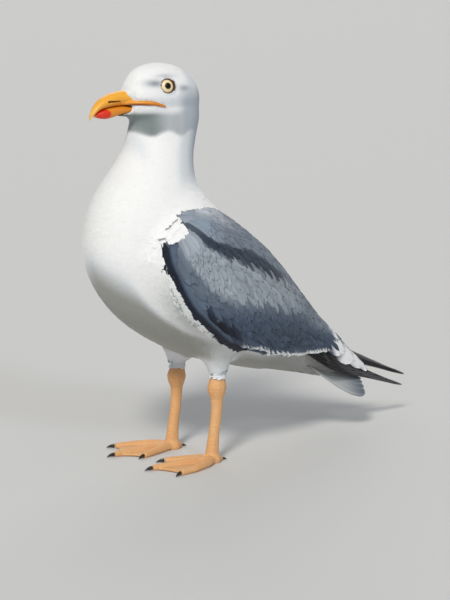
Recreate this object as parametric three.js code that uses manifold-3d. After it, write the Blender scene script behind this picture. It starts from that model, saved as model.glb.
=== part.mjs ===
// A large grey-backed gull, life size, standing still with its wings folded.
// Millimetres. +X is the way the bird faces, +Y is its left, +Z is up, and the floor is Z = 0.
// While it is shaped, X = 0 and Y = 0 are midway between the legs.
// Each sub-part is one closed solid, and neighbours are parted by a cut of CUT millimetres.
import * as THREE from "three";
import { mergeVertices } from "three/addons/utils/BufferGeometryUtils.js";
import Module from "manifold-3d";

const wasm = await Module();
wasm.setup();

// ---- Driving dimensions ----
const CUT = 0.3; // gap between two pieces that meet
const STANCE = 30; // from the middle of the bird to each leg
const HEAD_PLACE = [33, 0, 321]; // the middle of the braincase
const EYE_RADIUS = 9;
const EYE_PLACE = { forward: 8.5, aside: 14, up: 9.6 }; // in the head's own frame
const ORBIT = { aside: 24, long: 9.6, deep: 4.4, high: 7.2 }; // the hollow's middle and half sizes
const GAPE = { forward: 13, aside: 21.6, up: -6.3 }; // the corner of the mouth, in the head's frame
const FOOT_TURN = -8; // degrees, both feet, towards the bird's right
const FOOT_FORWARD = 2; // from the middle of the bird to the root of the toes
const ANKLE_HEIGHT = 68; // the hock, which is the top of the tarsus
const THIGH_HEM = 80; // where the leg feathers end
const FOOT_TOP = 7; // where the tarsus stands on the foot

// The cuts that part the bird: a point of each, and the way its first side lies.
const HEAD_CUT = { through: [30, 0, 293], towards: [0.3, 0, 1] };
const NECK_CUT = { through: [45, 0, 240], towards: [-0.15, 0, 1] };
const TAIL_CUT = { through: [-122, 0, 84], towards: [0.82, 0, 0.57] };
const MANTLE_CUT = { through: [-50, 0, 179], towards: [-0.76, 0, 0.65] };
const TERTIAL_CUT = { through: [-112, 0, 100], towards: [0.85, 0, 0.5] };

// ---- Colours, shared by the sub-parts that wear them ----
const WHITE = { color: 0xf2f3f3, roughness: 0.85 };
const SLATE = { color: 0x5d6c7f, roughness: 0.8 };
const BLACK = { color: 0x1d1a21, roughness: 0.7 };
const BILL_YELLOW = { color: 0xf0a92c, roughness: 0.4 };
const LEG_FLESH = { color: 0xe0a465, roughness: 0.55 };
const CLAW_BLACK = { color: 0x17120f, roughness: 0.4 };
const EYE_STRAW = { color: 0xf0dca0, roughness: 0.1 };

const point = (x, y, z) => new THREE.Vector3(x, y, z);
const radians = THREE.MathUtils.degToRad;

// ---- From three.js shapes to solids, and back ----

// A three.js geometry as a solid, with its faces turned outwards.
function solid(geometry) {
  const bare = geometry.clone();
  bare.deleteAttribute("normal");
  bare.deleteAttribute("uv");
  const merged = mergeVertices(bare, 1e-3);
  const build = (index) =>
    new wasm.Manifold(
      new wasm.Mesh({
        numProp: 3,
        vertProperties: new Float32Array(merged.attributes.position.array),
        triVerts: index,
      }),
    );
  const index = new Uint32Array(merged.index.array);
  const made = build(index);
  return made.volume() > 0 ? made : build(index.slice().reverse());
}

// A solid as a three.js geometry.
function geometryOf(body) {
  const mesh = body.getMesh();
  const geometry = new THREE.BufferGeometry();
  geometry.setAttribute("position", new THREE.BufferAttribute(mesh.vertProperties, 3));
  geometry.setIndex(new THREE.BufferAttribute(mesh.triVerts, 1));
  geometry.computeVertexNormals();
  return geometry;
}

// The largest body of a solid: a cut can leave a sliver beside it.
function mainBody(body) {
  return body.decompose().sort((a, b) => b.volume() - a.volume())[0];
}

// The two sides of a plane, parted by CUT: [the side that it points towards, the other].
function parted(body, { through, towards }) {
  const n = point(...towards).normalize();
  const offset = n.dot(point(...through));
  return [
    body.trimByPlane(n.toArray(), offset + CUT / 2),
    body.trimByPlane(n.clone().negate().toArray(), CUT / 2 - offset),
  ];
}

// ---- Lofts ----

// A smooth curve through one value per station, read with t from 0 to 1.
function track(values) {
  const curve = new THREE.SplineCurve(values.map((value, i) => new THREE.Vector2(i, value)));
  return (t) => curve.getPoint(t).y;
}

// A closed skin over rings: place(t, angle) is a point of the ring at t, and centre(t) the middle of it.
function loft(place, centre, around, along) {
  const tube = new THREE.CylinderGeometry(1, 1, 1, around, along);
  const at = tube.attributes.position;
  for (let i = 0; i < at.count; i++) {
    const t = at.getY(i) + 0.5;
    const onAxis = Math.hypot(at.getX(i), at.getZ(i)) < 0.5;
    const spot = onAxis ? centre(t) : place(t, Math.atan2(at.getZ(i), at.getX(i)));
    at.setXYZ(i, spot.x, spot.y, spot.z);
  }
  return solid(tube);
}

// A loft of ovals that stand across the bird. Each station gives its middle x and z, the lean of its
// axis in degrees above level, its reach to the back and to the front of that axis, and its half width.
function ovalLoft(stations, around, along, grow = 0) {
  const [x, z, lean, back, front, wide] = ["x", "z", "lean", "back", "front", "wide"].map((key) =>
    track(stations.map((station) => station[key])),
  );
  const centre = (t) => point(x(t), 0, z(t));
  const place = (t, angle) => {
    const rise = Math.cos(angle);
    const reach = rise * ((rise > 0 ? back(t) : front(t)) + grow);
    const tilt = radians(lean(t));
    const side = Math.sin(angle) * (wide(t) + grow);
    return point(x(t) - Math.sin(tilt) * reach, side, z(t) + Math.cos(tilt) * reach);
  };
  return loft(place, centre, around, along);
}

// A loft of upright ovals round a line that runs forwards: stations give x, top, bottom and half width.
function levelLoft(stations, around, along, grow = 0) {
  const [x, top, bottom, wide] = ["x", "top", "bottom", "wide"].map((key) =>
    track(stations.map((station) => station[key])),
  );
  const middle = (t) => (top(t) + bottom(t)) / 2;
  const centre = (t) => point(x(t), 0, middle(t));
  const place = (t, angle) => {
    const high = (top(t) - bottom(t)) / 2 + grow;
    return point(x(t), Math.sin(angle) * (wide(t) + grow), middle(t) + Math.cos(angle) * high);
  };
  return loft(place, centre, around, along);
}

// A rod of round sections along a smooth line: stations give the place and the two half widths.
function rod(stations, around, along) {
  const line = new THREE.CatmullRomCurve3(stations.map((station) => point(...station.at)));
  const [deep, wide] = ["deep", "wide"].map((key) => track(stations.map((station) => station[key])));
  const place = (t, angle) => {
    const ahead = line.getTangent(t);
    const across = point(0, 1, 0).addScaledVector(ahead, -ahead.y).normalize();
    const over = ahead.clone().cross(across);
    return line
      .getPoint(t)
      .addScaledVector(across, Math.cos(angle) * wide(t))
      .addScaledVector(over, Math.sin(angle) * deep(t));
  };
  return loft(place, (t) => line.getPoint(t), around, along);
}

// A blade, such as a folded wing: each station gives its upper and lower edge, how far it bulges
// outwards between them, and its thickness. `out` is the side that it bulges to.
function blade(stations, out, around, along, grow = 0) {
  const upper = new THREE.CatmullRomCurve3(stations.map((station) => point(...station.upper)));
  const lower = new THREE.CatmullRomCurve3(stations.map((station) => point(...station.lower)));
  const [bulge, thick] = ["bulge", "thick"].map((key) => track(stations.map((station) => station[key])));
  const middle = (t) => upper.getPoint(t).add(lower.getPoint(t)).multiplyScalar(0.5);
  const outward = (t) => {
    const chord = upper.getPoint(t).sub(lower.getPoint(t));
    const ahead = upper.getTangent(t).add(lower.getTangent(t));
    const normal = chord.cross(ahead).normalize();
    return normal.multiplyScalar(Math.sign(normal.dot(out)) || 1);
  };
  const place = (t, angle) => {
    const share = Math.cos(angle);
    const half = upper.getPoint(t).sub(lower.getPoint(t)).multiplyScalar(0.5);
    half.setLength(half.length() + grow);
    const swell = bulge(t) * (1 - share * share) + (thick(t) / 2 + grow) * Math.sin(angle);
    return middle(t).addScaledVector(half, share).addScaledVector(outward(t), swell);
  };
  const centre = (t) => middle(t).addScaledVector(outward(t), bulge(t));
  return loft(place, centre, around, along);
}

// ---- Body: one smooth form from the root of the tail to the top of the neck ----
const BODY = [
  { x: -180, z: 52, lean: 28, back: 3, front: 5, wide: 10 },
  { x: -154, z: 65, lean: 31, back: 6, front: 15, wide: 20 },
  { x: -128, z: 80, lean: 34, back: 14, front: 23, wide: 25 },
  { x: -97, z: 98, lean: 36, back: 27, front: 35, wide: 36 },
  { x: -60, z: 121, lean: 39, back: 44, front: 51, wide: 49 },
  { x: -20, z: 147, lean: 44, back: 57, front: 66, wide: 56 },
  { x: 18, z: 176, lean: 53, back: 59, front: 73, wide: 58 },
  { x: 40, z: 203, lean: 67, back: 57, front: 71, wide: 55 },
  { x: 47, z: 226, lean: 82, back: 51, front: 59, wide: 48 },
  { x: 46, z: 246, lean: 90, back: 41, front: 46, wide: 39 },
  { x: 40, z: 267, lean: 92, back: 33, front: 36, wide: 31 },
  { x: 34, z: 286, lean: 91, back: 31, front: 33, wide: 26 },
  { x: 31, z: 304, lean: 90, back: 33, front: 31, wide: 24.5 },
  { x: 31, z: 319, lean: 90, back: 32, front: 22, wide: 22 },
];
const bodyForm = (grow = 0) => ovalLoft(BODY, 22, 22, grow);

// ---- Head, in its own frame: +X along the bill, the origin in the middle of the braincase ----
const HEAD = [
  { x: -34.5, top: 1, bottom: -3, wide: 2 },
  { x: -32, top: 11, bottom: -14, wide: 11 },
  { x: -24, top: 21, bottom: -22, wide: 18.5 },
  { x: -12, top: 27.5, bottom: -26, wide: 23 },
  { x: 2, top: 30, bottom: -27, wide: 24.5 },
  { x: 14, top: 29.5, bottom: -25, wide: 23.2 },
  { x: 24, top: 26.6, bottom: -22, wide: 19.6 },
  { x: 31, top: 21, bottom: -18.5, wide: 15.6 },
  { x: 36, top: 12, bottom: -14.5, wide: 11 },
  { x: 37.4, top: 8, bottom: -12, wide: 7 },
];
const UPPER_BILL = [
  { x: 26, top: 7, bottom: -6, wide: 7.5 },
  { x: 35, top: 8.2, bottom: -5, wide: 8.8 },
  { x: 44, top: 7.4, bottom: -5, wide: 7.6 },
  { x: 55, top: 5.2, bottom: -5.8, wide: 6.4 },
  { x: 64, top: 1, bottom: -7.5, wide: 5.4 },
  { x: 70, top: -4.6, bottom: -11, wide: 4.1 },
  { x: 73.6, top: -10.8, bottom: -14.6, wide: 2.4 },
  { x: 74.8, top: -15.8, bottom: -17.4, wide: 0.9 },
];
const LOWER_BILL = [
  { x: 26, top: -6.6, bottom: -12, wide: 6.6 },
  { x: 36, top: -5.4, bottom: -11.6, wide: 6.8 },
  { x: 46, top: -5.5, bottom: -12.8, wide: 6 },
  { x: 55, top: -6.3, bottom: -15.2, wide: 5.2 },
  { x: 61, top: -7.4, bottom: -15.6, wide: 4.6 },
  { x: 67, top: -9.5, bottom: -14.6, wide: 3.2 },
  { x: 70, top: -11.5, bottom: -13.6, wide: 1.4 },
];
const headPlace = new THREE.Matrix4().makeTranslation(...HEAD_PLACE);
const onHead = (body) => body.transform(headPlace.elements);

function ball(radius, x, y, z, around = 12, up = 8) {
  return solid(new THREE.SphereGeometry(radius, around, up).translate(x, y, z));
}

function eyeball(side, grow = 0) {
  const { forward, aside, up } = EYE_PLACE;
  return onHead(ball(EYE_RADIUS + grow, forward, side * aside, up));
}

// The shallow hollow round each eye, under the brow.
function orbit(side) {
  const hollow = new THREE.SphereGeometry(1, 10, 6).scale(ORBIT.long, ORBIT.deep, ORBIT.high);
  const { forward, up } = EYE_PLACE;
  return onHead(solid(hollow.translate(forward, side * ORBIT.aside, up)));
}

// The fleshy edge of the mouth, from the bill back to the corner of the gape.
function gapeEdge(side, grow = 0) {
  return onHead(
    rod(
      [
        { at: [46, side * 4.5, -2.6], deep: 1.6 + grow, wide: 2 + grow },
        { at: [38, side * 8.4, -2.6], deep: 2 + grow, wide: 2.2 + grow },
        { at: [29, side * 14.8, -2.8], deep: 2.1 + grow, wide: 2.2 + grow },
        { at: [20, side * 19.4, -3.6], deep: 1.9 + grow, wide: 2.2 + grow },
        { at: [GAPE.forward, side * GAPE.aside, GAPE.up], deep: 0.9 + grow, wide: 1.2 + grow },
      ],
      6,
      5,
    ),
  );
}

function upperBill(grow = 0) {
  const horn = onHead(levelLoft(UPPER_BILL, 12, 10, grow));
  return horn.add(gapeEdge(1, grow)).add(gapeEdge(-1, grow));
}

const lowerBill = (grow = 0) => onHead(levelLoft(LOWER_BILL, 12, 9, grow));

// ---- Wings: the covered arm with its scapulars, the tertials, and the long black primaries ----
const WING = [
  { upper: [46, 46, 228], lower: [74, 51, 204], bulge: 5, thick: 4 },
  { upper: [16, 36, 230], lower: [73, 55, 176], bulge: 16, thick: 12 },
  { upper: [-26, 13, 214], lower: [52, 55, 137], bulge: 29, thick: 15 },
  { upper: [-62, 5, 190], lower: [8, 51, 109], bulge: 31, thick: 15 },
  { upper: [-100, 1, 152], lower: [-42, 43, 93], bulge: 24, thick: 13 },
  { upper: [-134, 0, 116], lower: [-90, 35, 85], bulge: 14, thick: 10 },
  { upper: [-168, 0, 86], lower: [-138, 25, 75], bulge: 7, thick: 7 },
  { upper: [-210, 0, 53], lower: [-194, 11, 48], bulge: 2, thick: 3 },
];
// The tips of the right wing lie over those of the left: how far its last three stations are
// lifted, and how far they are drawn forward.
const OVERLAY = [0, 0, 0, 0, 0, 2, 6, 10];
const OVERLAY_FORWARD = [0, 0, 0, 0, 0, 0, 4, 16];
const PRIMARIES = {
  left: [
    { upper: [-98, 27, 96], lower: [-84, 39, 82], bulge: 4, thick: 4 },
    { upper: [-128, 19, 86], lower: [-118, 33, 71], bulge: 5, thick: 4 },
    { upper: [-157, 9, 73], lower: [-150, 23, 58], bulge: 4, thick: 4 },
    { upper: [-192, 0, 57], lower: [-188, 12, 48], bulge: 2, thick: 3 },
    { upper: [-230, -4, 42], lower: [-228, 5, 36], bulge: 1, thick: 2.4 },
    { upper: [-259, -4, 30], lower: [-258, -1, 28], bulge: 0.3, thick: 1.4 },
  ],
  right: [
    { upper: [-98, -27, 98], lower: [-84, -39, 84], bulge: 4, thick: 4 },
    { upper: [-128, -19, 92], lower: [-118, -33, 77], bulge: 5, thick: 4 },
    { upper: [-157, -8, 84], lower: [-150, -23, 70], bulge: 4, thick: 4 },
    { upper: [-192, 0, 70], lower: [-188, -12, 60], bulge: 2, thick: 3 },
    { upper: [-230, 4, 54], lower: [-228, -5, 48], bulge: 1, thick: 2.4 },
    { upper: [-256, 5, 42], lower: [-255, 2, 40], bulge: 0.3, thick: 1.4 },
  ],
};
const mirrored = (stations) =>
  stations.map((s) => ({
    ...s,
    upper: [s.upper[0], -s.upper[1], s.upper[2]],
    lower: [s.lower[0], -s.lower[1], s.lower[2]],
  }));
const overlaid = (stations) =>
  stations.map((s, i) => ({
    ...s,
    upper: [s.upper[0] + OVERLAY_FORWARD[i], s.upper[1], s.upper[2] + OVERLAY[i]],
    lower: [s.lower[0] + OVERLAY_FORWARD[i], s.lower[1], s.lower[2] + OVERLAY[i]],
  }));
const wingForm = (side, grow = 0) =>
  blade(side > 0 ? WING : overlaid(mirrored(WING)), point(0, side, 0.6), 16, 14, grow);
const primaryForm = (side, grow = 0) =>
  blade(PRIMARIES[side > 0 ? "left" : "right"], point(0, side, 0.6), 10, 6, grow);

// ---- Tail: a closed fan, arched over like a roof tile ----
const TAIL = [
  { x: -100, z: 91, half: 20, arch: 8, thick: 18 },
  { x: -130, z: 76, half: 22, arch: 15, thick: 12 },
  { x: -156, z: 63, half: 25, arch: 20, thick: 7 },
  { x: -178, z: 54, half: 26, arch: 21, thick: 3.2 },
  { x: -194, z: 48, half: 21, arch: 17, thick: 2.2 },
];
function tailForm(grow = 0) {
  const [x, z, half, arch, thick] = ["x", "z", "half", "arch", "thick"].map((key) =>
    track(TAIL.map((station) => station[key])),
  );
  const place = (t, angle) => {
    const share = Math.cos(angle);
    const skin = (thick(t) / 2 + grow) * Math.sin(angle);
    return point(x(t), share * (half(t) + grow), z(t) - arch(t) * share * share + skin);
  };
  return loft(place, (t) => point(x(t), 0, z(t)), 16, 7);
}

// ---- Legs ----
const THIGH = [
  { at: [14, -14, 150], deep: 17, wide: 8 },
  { at: [9, -5, 128], deep: 19, wide: 16 },
  { at: [2, 0, 107], deep: 13.5, wide: 15 },
  { at: [-3, 0, 93], deep: 10.5, wide: 12 },
  { at: [-5, 0, THIGH_HEM], deep: 8.6, wide: 8.5 },
];
const thighForm = (side) =>
  rod(
    THIGH.map(({ at: [x, y, z], ...girth }) => ({ at: [x, side * (STANCE + y), z], ...girth })),
    14,
    8,
  );
const SHANK = [
  { at: [-5, 0, THIGH_HEM - 3], deep: 6, wide: 5.4 },
  { at: [-4, 0, ANKLE_HEIGHT + 5], deep: 7.4, wide: 6 },
  { at: [-3, 0, ANKLE_HEIGHT - 1], deep: 9, wide: 7.2 },
  { at: [-3, 0, ANKLE_HEIGHT - 7], deep: 7.4, wide: 6 },
  { at: [-3, 0, ANKLE_HEIGHT - 12], deep: 5.4, wide: 4.6 },
  { at: [-2, 0, ANKLE_HEIGHT - 28], deep: 5, wide: 4.1 },
  { at: [1, 0, ANKLE_HEIGHT - 46], deep: 5, wide: 4.2 },
  { at: [2.5, 0, FOOT_TOP + 0.8], deep: 6.2, wide: 5.6 },
];

// Each toe: its direction in degrees from straight ahead, positive outwards, its length to the claw,
// and how far it bows outwards on the way.
const TOES = {
  inner: { turn: -25, length: 42, bow: 0 },
  middle: { turn: -1, length: 59, bow: 1 },
  outer: { turn: 29, length: 52, bow: 5 },
};
const TOE_BASE = 3.4;
const CLAW_LENGTH = 7.4;
const HIND_TOE = { from: [-5.5, 0, 2.4], to: [-9.5, 0, 1.9] };
const CLAW_CLEARANCE = 0.8; // from the floor to the middle of each claw's tip

// A claw: a horn that curves down from the end of its toe, `from`, the way that the toe points.
// Its tip stays just clear of the floor.
function claw(from, turn, length, thick) {
  const [x, y, z] = from;
  const reach = (share, height) => [
    x + Math.cos(turn) * length * share,
    y + Math.sin(turn) * length * share,
    height,
  ];
  return rod(
    [
      { at: reach(0, z), deep: thick, wide: thick * 0.8 },
      { at: reach(0.5, z - 0.1), deep: thick * 0.72, wide: thick * 0.55 },
      { at: reach(1, CLAW_CLEARANCE), deep: 0.35, wide: 0.35 },
    ],
    6,
    3,
  );
}

// The three front toes with their webs, the knuckle and the hind toe, cut flat where they stand.
function footForm(side) {
  let foot = ball(7.6, 0, 0, 3, 10, 6);
  const tips = [];
  for (const { turn, length, bow } of Object.values(TOES)) {
    const angle = radians(side * turn);
    const along = new THREE.Vector2(Math.cos(angle), Math.sin(angle));
    const outwards = new THREE.Vector2(-along.y, along.x).multiplyScalar(side * bow);
    const reach = (share) =>
      along
        .clone()
        .multiplyScalar(length * share)
        .addScaledVector(outwards, 4 * share * (1 - share));
    foot = foot.add(
      rod(
        [
          { at: [0, 0, 3.4], deep: 4.4, wide: 4.8 },
          { at: [...reach(0.35), TOE_BASE], deep: 3.7, wide: 4.2 },
          { at: [...reach(0.7), 2.9], deep: 3.1, wide: 3.5 },
          { at: [...reach(1), 2.5], deep: 2.6, wide: 2.6 },
        ],
        7,
        3,
      ),
    );
    tips.push(reach(0.97));
  }
  const web = new THREE.Shape();
  web.moveTo(-2, 0);
  web.lineTo(tips[0].x, tips[0].y);
  for (const [a, b] of [
    [tips[0], tips[1]],
    [tips[1], tips[2]],
  ]) {
    const dip = a.clone().add(b).multiplyScalar(0.5 * 0.9);
    web.quadraticCurveTo(dip.x, dip.y, b.x, b.y);
  }
  web.closePath();
  const sheet = new THREE.ExtrudeGeometry(web, { depth: 1.6, bevelEnabled: false, curveSegments: 4 });
  foot = foot.add(solid(sheet.translate(0, 0, 0.8)));
  foot = foot.add(
    rod(
      [
        { at: [0, 0, 4.6], deep: 3.2, wide: 3 },
        { at: HIND_TOE.from, deep: 2.6, wide: 2.5 },
        { at: HIND_TOE.to, deep: 2.1, wide: 1.9 },
      ],
      6,
      3,
    ),
  );
  return foot.trimByPlane([0, 0, 1], 0).trimByPlane([0, 0, -1], -FOOT_TOP);
}

// ---- Putting the bird together ----
const bird = new THREE.Group();

function addPiece(name, body, look) {
  const mesh = new THREE.Mesh(geometryOf(mainBody(body)), new THREE.MeshStandardMaterial(look));
  mesh.name = name;
  bird.add(mesh);
}

const SIDES = [
  { label: "left", side: 1 },
  { label: "right", side: -1 },
];

// Head, neck, trunk and tail
const headForm = onHead(levelLoft(HEAD, 16, 12));
let flesh = bodyForm().add(headForm).add(tailForm());
for (const { side } of SIDES) flesh = flesh.subtract(orbit(side)).subtract(eyeball(side, CUT));
const [head, belowHead] = parted(flesh, HEAD_CUT);
const [neck, trunkAndTail] = parted(belowHead, NECK_CUT);
const [trunkAndMantle, tail] = parted(trunkAndTail, TAIL_CUT);
const [mantle, trunk] = parted(trunkAndMantle, MANTLE_CUT);
addPiece("head", head.subtract(upperBill(CUT)).subtract(lowerBill(CUT)), WHITE);
addPiece("neck", neck, WHITE);
addPiece("bill_upper", upperBill(), BILL_YELLOW);
addPiece("bill_lower", lowerBill().subtract(upperBill(CUT)), BILL_YELLOW);
for (const { label, side } of SIDES) addPiece(`eye_${label}`, eyeball(side), EYE_STRAW);

// Wings, laid over the body, with the right wing's primaries over the left's
const bodyRoom = bodyForm(CUT);
const tailRoom = tailForm(CUT);
const wings = SIDES.map(({ side }) =>
  mainBody(wingForm(side).subtract(bodyRoom).trimByPlane([0, side, 0], CUT / 2)),
);
const wingRoom = wingForm(1, CUT).add(wingForm(-1, CUT));
SIDES.forEach(({ label, side }, i) => {
  const [arm, tertials] = parted(wings[i], TERTIAL_CUT);
  addPiece(`wing_${label}`, arm, SLATE);
  addPiece(`tertials_${label}`, tertials, SLATE);
  const tips = primaryForm(side).subtract(bodyRoom).subtract(wingRoom);
  addPiece(`primaries_${label}`, side > 0 ? tips : tips.subtract(primaryForm(1, CUT)), BLACK);
});
const primaryRoom = primaryForm(1, CUT).add(primaryForm(-1, CUT));
addPiece("trunk", trunk.subtract(wingRoom), WHITE);
addPiece("mantle", mantle.subtract(wingRoom), SLATE);
addPiece("tail", tail.subtract(wingRoom).subtract(primaryRoom), WHITE);

// Legs
const legPlace = (side) =>
  new THREE.Matrix4()
    .makeTranslation(FOOT_FORWARD, side * STANCE, 0)
    .multiply(new THREE.Matrix4().makeRotationZ(radians(FOOT_TURN)));
for (const { label, side } of SIDES) {
  const upright = new THREE.Matrix4().makeTranslation(0, side * STANCE, 0).elements;
  const turned = legPlace(side).elements;
  addPiece(`thigh_${label}`, thighForm(side).subtract(bodyRoom).subtract(wingRoom), WHITE);
  addPiece(`shank_${label}`, rod(SHANK, 10, 11).transform(upright), LEG_FLESH);
  addPiece(`foot_${label}`, footForm(side).transform(turned), LEG_FLESH);
  for (const [toe, { turn, length }] of Object.entries(TOES)) {
    const angle = radians(side * turn);
    const tip = [Math.cos(angle) * (length + 0.7), Math.sin(angle) * (length + 0.7), 2.5];
    addPiece(`claw_${label}_${toe}`, claw(tip, angle, CLAW_LENGTH, 2.2).transform(turned), CLAW_BLACK);
  }
  const [hindX, hindY, hindZ] = HIND_TOE.to;
  const hind = claw([hindX - CUT, hindY, hindZ], Math.PI, 4.5, 1.5).transform(turned);
  addPiece(`claw_${label}_hind`, hind, CLAW_BLACK);
}

// The part's origin: the middle of the bird's extent, on the floor
const extent = new THREE.Box3().setFromObject(bird);
const middle = extent.getCenter(point(0, 0, 0));
bird.position.set(-middle.x, -middle.y, -extent.min.z);
const part = new THREE.Group();
part.add(bird);

export default part;
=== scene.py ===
# A large grey-backed gull, life size, standing: its skin, plumage, eyes, bill, legs and claws,
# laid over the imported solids. Shapes are worked out in millimetres in the bird's own frame: +X is the
# way it faces, +Y is its left, and the floor midway between its legs is the origin.
import math
import bmesh
import bpy
import numpy as np
from mathutils import Matrix, Vector
from mathutils.bvhtree import BVHTree


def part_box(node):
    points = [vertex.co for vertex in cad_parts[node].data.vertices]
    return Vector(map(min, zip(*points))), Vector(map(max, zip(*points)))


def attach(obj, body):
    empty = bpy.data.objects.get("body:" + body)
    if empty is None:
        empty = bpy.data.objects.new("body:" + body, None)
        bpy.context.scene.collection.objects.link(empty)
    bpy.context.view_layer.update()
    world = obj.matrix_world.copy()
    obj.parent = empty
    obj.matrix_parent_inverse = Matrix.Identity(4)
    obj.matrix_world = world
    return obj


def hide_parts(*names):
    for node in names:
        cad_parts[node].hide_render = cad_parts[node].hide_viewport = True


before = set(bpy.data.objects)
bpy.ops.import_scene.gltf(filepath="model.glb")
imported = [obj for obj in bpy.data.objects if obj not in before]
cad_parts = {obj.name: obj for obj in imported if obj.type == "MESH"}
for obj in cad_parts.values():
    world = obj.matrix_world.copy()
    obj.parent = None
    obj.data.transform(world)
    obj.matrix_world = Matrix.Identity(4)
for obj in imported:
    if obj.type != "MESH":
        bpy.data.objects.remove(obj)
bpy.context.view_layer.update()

# ---- Where the bird stands ----
# The left eyeball is a known place in the bird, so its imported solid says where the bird's own frame lies.
MM = 0.001
EYE_MIDDLE = np.array([41.5, 14.0, 330.6])
eye_low, eye_high = (np.array(corner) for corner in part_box("eye_left"))
ORIGIN = (eye_low + eye_high) / 2 - EYE_MIDDLE * MM


def metres(places):
    """Places in the bird's frame, in millimetres, as places in the row's frame, in metres."""
    return np.asarray(places, float) * MM + ORIGIN


def millimetres(places):
    return (np.asarray(places, float) - ORIGIN) / MM


# ---- Skin ----
# One closed skin over all the flesh, made by growing the solids until their cuts close, and running
# one even surface round them. Under the feathers it lies deeper than the solids by the coat's depth,
# and on the legs and feet it is bare.
BODY_NODES = ["head", "neck", "trunk", "mantle", "thigh_left", "thigh_right", "wing_left", "wing_right"]
KEPT_SHAPES = ["head", "thigh_left", "thigh_right", "wing_left", "wing_right"]
LEG_NODES = ["shank_left", "foot_left", "shank_right", "foot_right"]
BODY_VOXEL, LEG_VOXEL = 1.5, 0.7


def unit(vectors):
    return vectors / np.maximum(np.linalg.norm(vectors, axis=-1, keepdims=True), 1e-9)


def ease(low, high, x):
    """0 below low, 1 above high, and smooth between."""
    share = np.clip((np.asarray(x, float) - low) / (high - low), 0, 1)
    return share * share * (3 - 2 * share)


def smooth_curve(stations, t):
    """A smooth curve through evenly spaced stations, read at each t from 0 to 1."""
    stations = np.asarray(stations, float)
    last = len(stations) - 1
    x = np.clip(np.asarray(t, float), 0, 1) * last
    i = np.minimum(x.astype(int), last - 1)
    f = (x - i).reshape(x.shape + (1,) * (stations.ndim - 1))
    before, start, end = stations[np.maximum(i - 1, 0)], stations[i], stations[i + 1]
    after = stations[np.minimum(i + 2, last)]
    lead, follow = (end - before) / 2, (after - start) / 2
    cubic = 2 * start - 2 * end + lead + follow
    square = -3 * start + 3 * end - 2 * lead - follow
    return ((cubic * f + square) * f + lead) * f + start


def even_turns(count):
    """That many even turns round a circle, in radians."""
    return np.arange(count) * 2 * math.pi / count


def mesh_of(shape, name):
    """A bmesh made into a mesh, and freed."""
    mesh = bpy.data.meshes.new(name)
    shape.to_mesh(mesh)
    shape.free()
    return mesh


def in_scene(name, mesh):
    piece = bpy.data.objects.new(name, mesh)
    bpy.context.scene.collection.objects.link(piece)
    return piece


def worked_mesh(piece):
    """The mesh that a piece's modifiers make of it."""
    return bpy.data.meshes.new_from_object(piece.evaluated_get(bpy.context.evaluated_depsgraph_get()))


def add_shape(shape, other):
    mesh = mesh_of(other, "other")
    shape.from_mesh(mesh)
    bpy.data.meshes.remove(mesh)


def grown_solids(names, grow):
    """Copies of those nodes in one bmesh, each pushed outwards by grow millimetres."""
    joined = bmesh.new()
    for name in names:
        copy = bmesh.new()
        copy.from_mesh(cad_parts[name].data)
        bmesh.ops.remove_doubles(copy, verts=copy.verts, dist=1e-6)
        copy.normal_update()
        for vertex, normal in [(v, v.normal.copy()) for v in copy.verts]:
            vertex.co += normal * grow * MM
        add_shape(joined, copy)
    return joined


def even_surface(shape, voxel, smoothing):
    """One even closed surface round a bmesh, with that voxel in millimetres, smoothed so many times."""
    piece = in_scene("shape", mesh_of(shape, "shape"))
    remesh = piece.modifiers.new("even", "REMESH")
    remesh.mode = "VOXEL"
    remesh.voxel_size = voxel * MM
    relax = piece.modifiers.new("relax", "SMOOTH")
    relax.factor = 0.5
    relax.iterations = smoothing
    made = worked_mesh(piece)
    bpy.data.objects.remove(piece)
    return made


def read(mesh):
    """A mesh's vertices in the bird's millimetres, and their normals."""
    places, normals = np.zeros((2, len(mesh.vertices) * 3))
    mesh.vertices.foreach_get("co", places)
    mesh.vertex_normals.foreach_get("vector", normals)
    return millimetres(places.reshape(-1, 3)), normals.reshape(-1, 3)


def write(mesh, places):
    mesh.vertices.foreach_set("co", metres(places).ravel())
    mesh.update()


def coat_depth(p):
    """How deep the feathers are at a place: thin on the face, thickest on the breast and belly."""
    x, _, z = p.T
    face = ease(18, 62, x) * ease(296, 312, z)
    depth = 0.95 + 1.25 * ease(318, 235, z) - 0.35 * face - 1.2 * ease(-125, -150, x)
    return depth - 0.7 * ease(96, 84, z) * ease(-60, -40, x)


def rings_to_shape(rings, closed=False):
    """A closed bmesh from rings of places, with its ends capped or, when closed, joined to each other."""
    shape = bmesh.new()
    rings = [[shape.verts.new(metres(place)) for place in ring] for ring in rings]
    around = len(rings[0])
    for here, there in zip(rings, rings[1:] + rings[:1] if closed else rings[1:]):
        for j in range(around):
            k = (j + 1) % around
            shape.faces.new((here[j], here[k], there[k], there[j]))
    if not closed:
        shape.faces.new(rings[0][::-1])
        shape.faces.new(rings[-1])
    bmesh.ops.recalc_face_normals(shape, faces=shape.faces)
    return shape


def tube(line, radii, around):
    """Rings of those radii round a line."""
    ahead = unit(np.gradient(line, axis=0))
    over = unit(np.array([0.0, 0.0, 1.0]) - ahead * ahead[:, 2:])
    aside = np.cross(over, ahead)
    turn = even_turns(around)
    wheel = aside[:, None] * np.cos(turn)[None, :, None] + over[:, None] * np.sin(turn)[None, :, None]
    return line[:, None] + wheel * np.asarray(radii)[:, None, None]


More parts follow.
